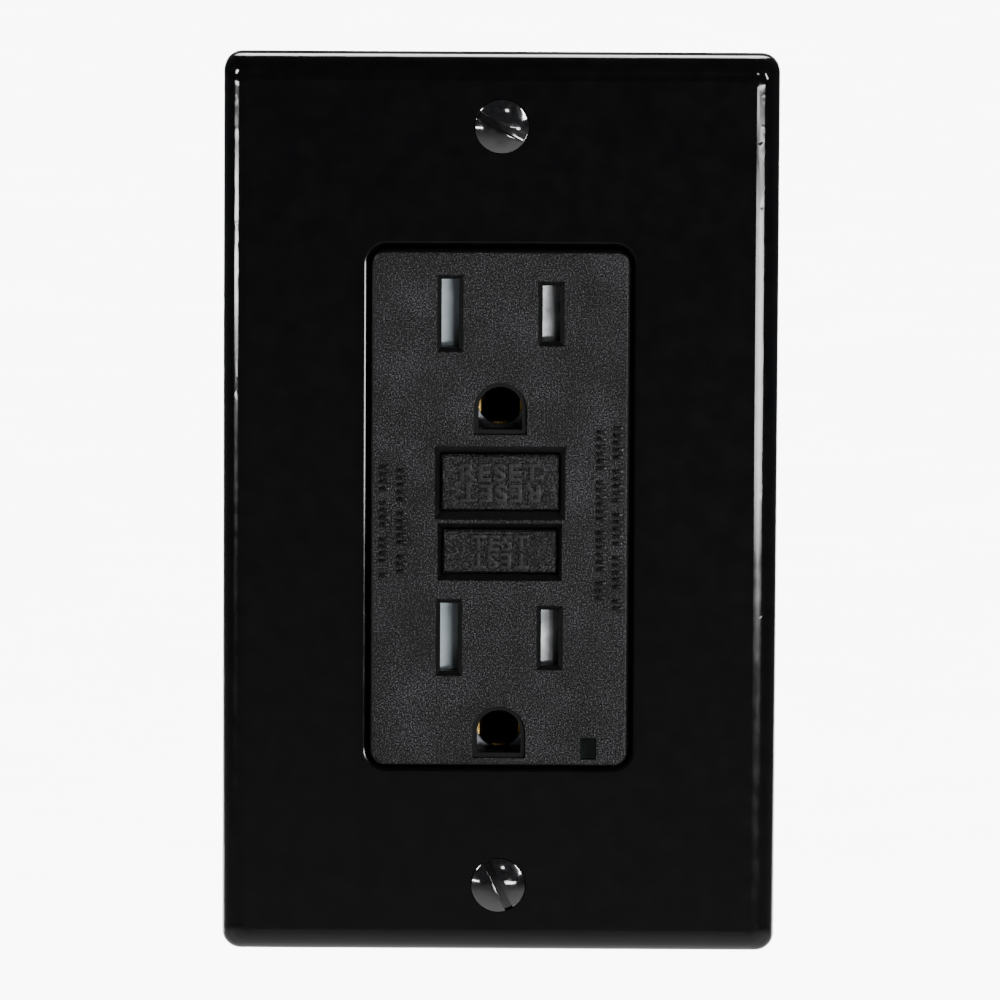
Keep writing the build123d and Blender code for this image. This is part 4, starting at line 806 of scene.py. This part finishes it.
paint(solder_mask(), "circuit_board")
paint(banded_lacquer(), "resistors")
paint(moulded("dipped_blue_epoxy", "#1E4E8C", "#2B62A6", 0.3, flow=2), "surge_varistor")
paint(moulded("package_epoxy", "#161618", "#202024", 0.5, flow=3, grain=0.2), "trip_scr", "control_ic")


# Setting: a pale floor well below the object, lit mainly behind it so that the glossy plate stays
# dark. Soft light comes from behind, the front and both sides, and two low strips light the ridges.
def painted_floor():
    """Matt white paint on a smooth board, with a trace of roller texture."""
    material, tree, shader, place = new_finish("white_floor_paint", "#F2F2F2", 0.9, specular=0.1)
    roller = add(tree, "ShaderNodeTexNoise", {"Vector": place, "Scale": per(30), "Detail": 3})
    vary(tree, shader.inputs["Base Color"], roller.outputs["Fac"], "#F0F0F0", "#F4F4F4")
    return material


FLOOR_Z = -0.2
FLOOR_REACH = 12
floor_shape = bmesh.new()
bmesh.ops.create_grid(floor_shape, x_segments=1, y_segments=1, size=FLOOR_REACH)
bmesh.ops.translate(floor_shape, vec=(0, 0, FLOOR_Z), verts=floor_shape.verts)
floor_mesh = bpy.data.meshes.new("floor")
floor_shape.to_mesh(floor_mesh)
floor_shape.free()
floor_mesh.materials.append(painted_floor())
floor = bpy.data.objects.new("floor", floor_mesh)
bpy.context.scene.collection.objects.link(floor)


def softbox(name, at, aim, width, height, power, spread):
    """A rectangular soft light at a place, turned towards a point, with its beam in degrees."""
    light = bpy.data.lights.new(name, "AREA")
    light.shape = "RECTANGLE"
    light.size = width
    light.size_y = height
    light.energy = power
    light.spread = math.radians(spread)
    lamp = bpy.data.objects.new(name, light)
    lamp.location = at
    lamp.rotation_euler = (Vector(aim) - Vector(at)).to_track_quat("-Z", "Y").to_euler()
    bpy.context.scene.collection.objects.link(lamp)


softbox("behind", (0, 1.2, 0.9), (0, 0, 0), 0.9, 0.8, 3.5, 60)
softbox("right_side", (0.7, -0.42, 0.36), (0, 0, 0.03), 0.1, 0.4, 1.0, 60)
softbox("left_side", (-0.8, -0.35, 0.5), (0, 0, 0.04), 0.12, 0.25, 0.6, 60)
softbox("front_key", (0.35, -1.3, 1.0), (0, 0, 0), 0.2, 0.2, 0.24, 50)
softbox("right_ridge", (0.3, -0.52, -0.07), (0.03, -0.005, 0.02), 0.34, 0.06, 0.3, 60)
softbox("left_ridge", (-0.5, -0.3, -0.05), (-0.033, -0.005, 0.05), 0.2, 0.025, 0.12, 60)
softbox("floor_light", (0, 1.5, 0.5), (0, 1.5, 0), 1.1, 2.2, 80, 40)

AMBIENT = 0.11
world = bpy.data.worlds.new("studio")
bpy.context.scene.world = world
world.use_nodes = True
world.node_tree.nodes["Background"].inputs["Color"].default_value = linear("#C8CACC")
world.node_tree.nodes["Background"].inputs["Strength"].default_value = AMBIENT

DISTANCE = 2.0
ELEVATION = math.radians(9.5)
ROLL = math.radians(0.3)
VIEW_HEIGHT = 0.12626
SENSOR = 36
camera_data = bpy.data.cameras.new("camera")
camera_data.sensor_width = SENSOR
camera_data.lens = SENSOR * DISTANCE / VIEW_HEIGHT
camera = bpy.data.objects.new("camera", camera_data)
target = Vector((0, 0, 0))
camera.location = target + DISTANCE * Vector((0, -math.cos(ELEVATION), math.sin(ELEVATION)))
facing = (target - camera.location).to_track_quat("-Z", "Y")
camera.rotation_euler = (facing @ Quaternion((0, 0, 1), ROLL)).to_euler()
bpy.context.scene.collection.objects.link(camera)
bpy.context.scene.camera = camera
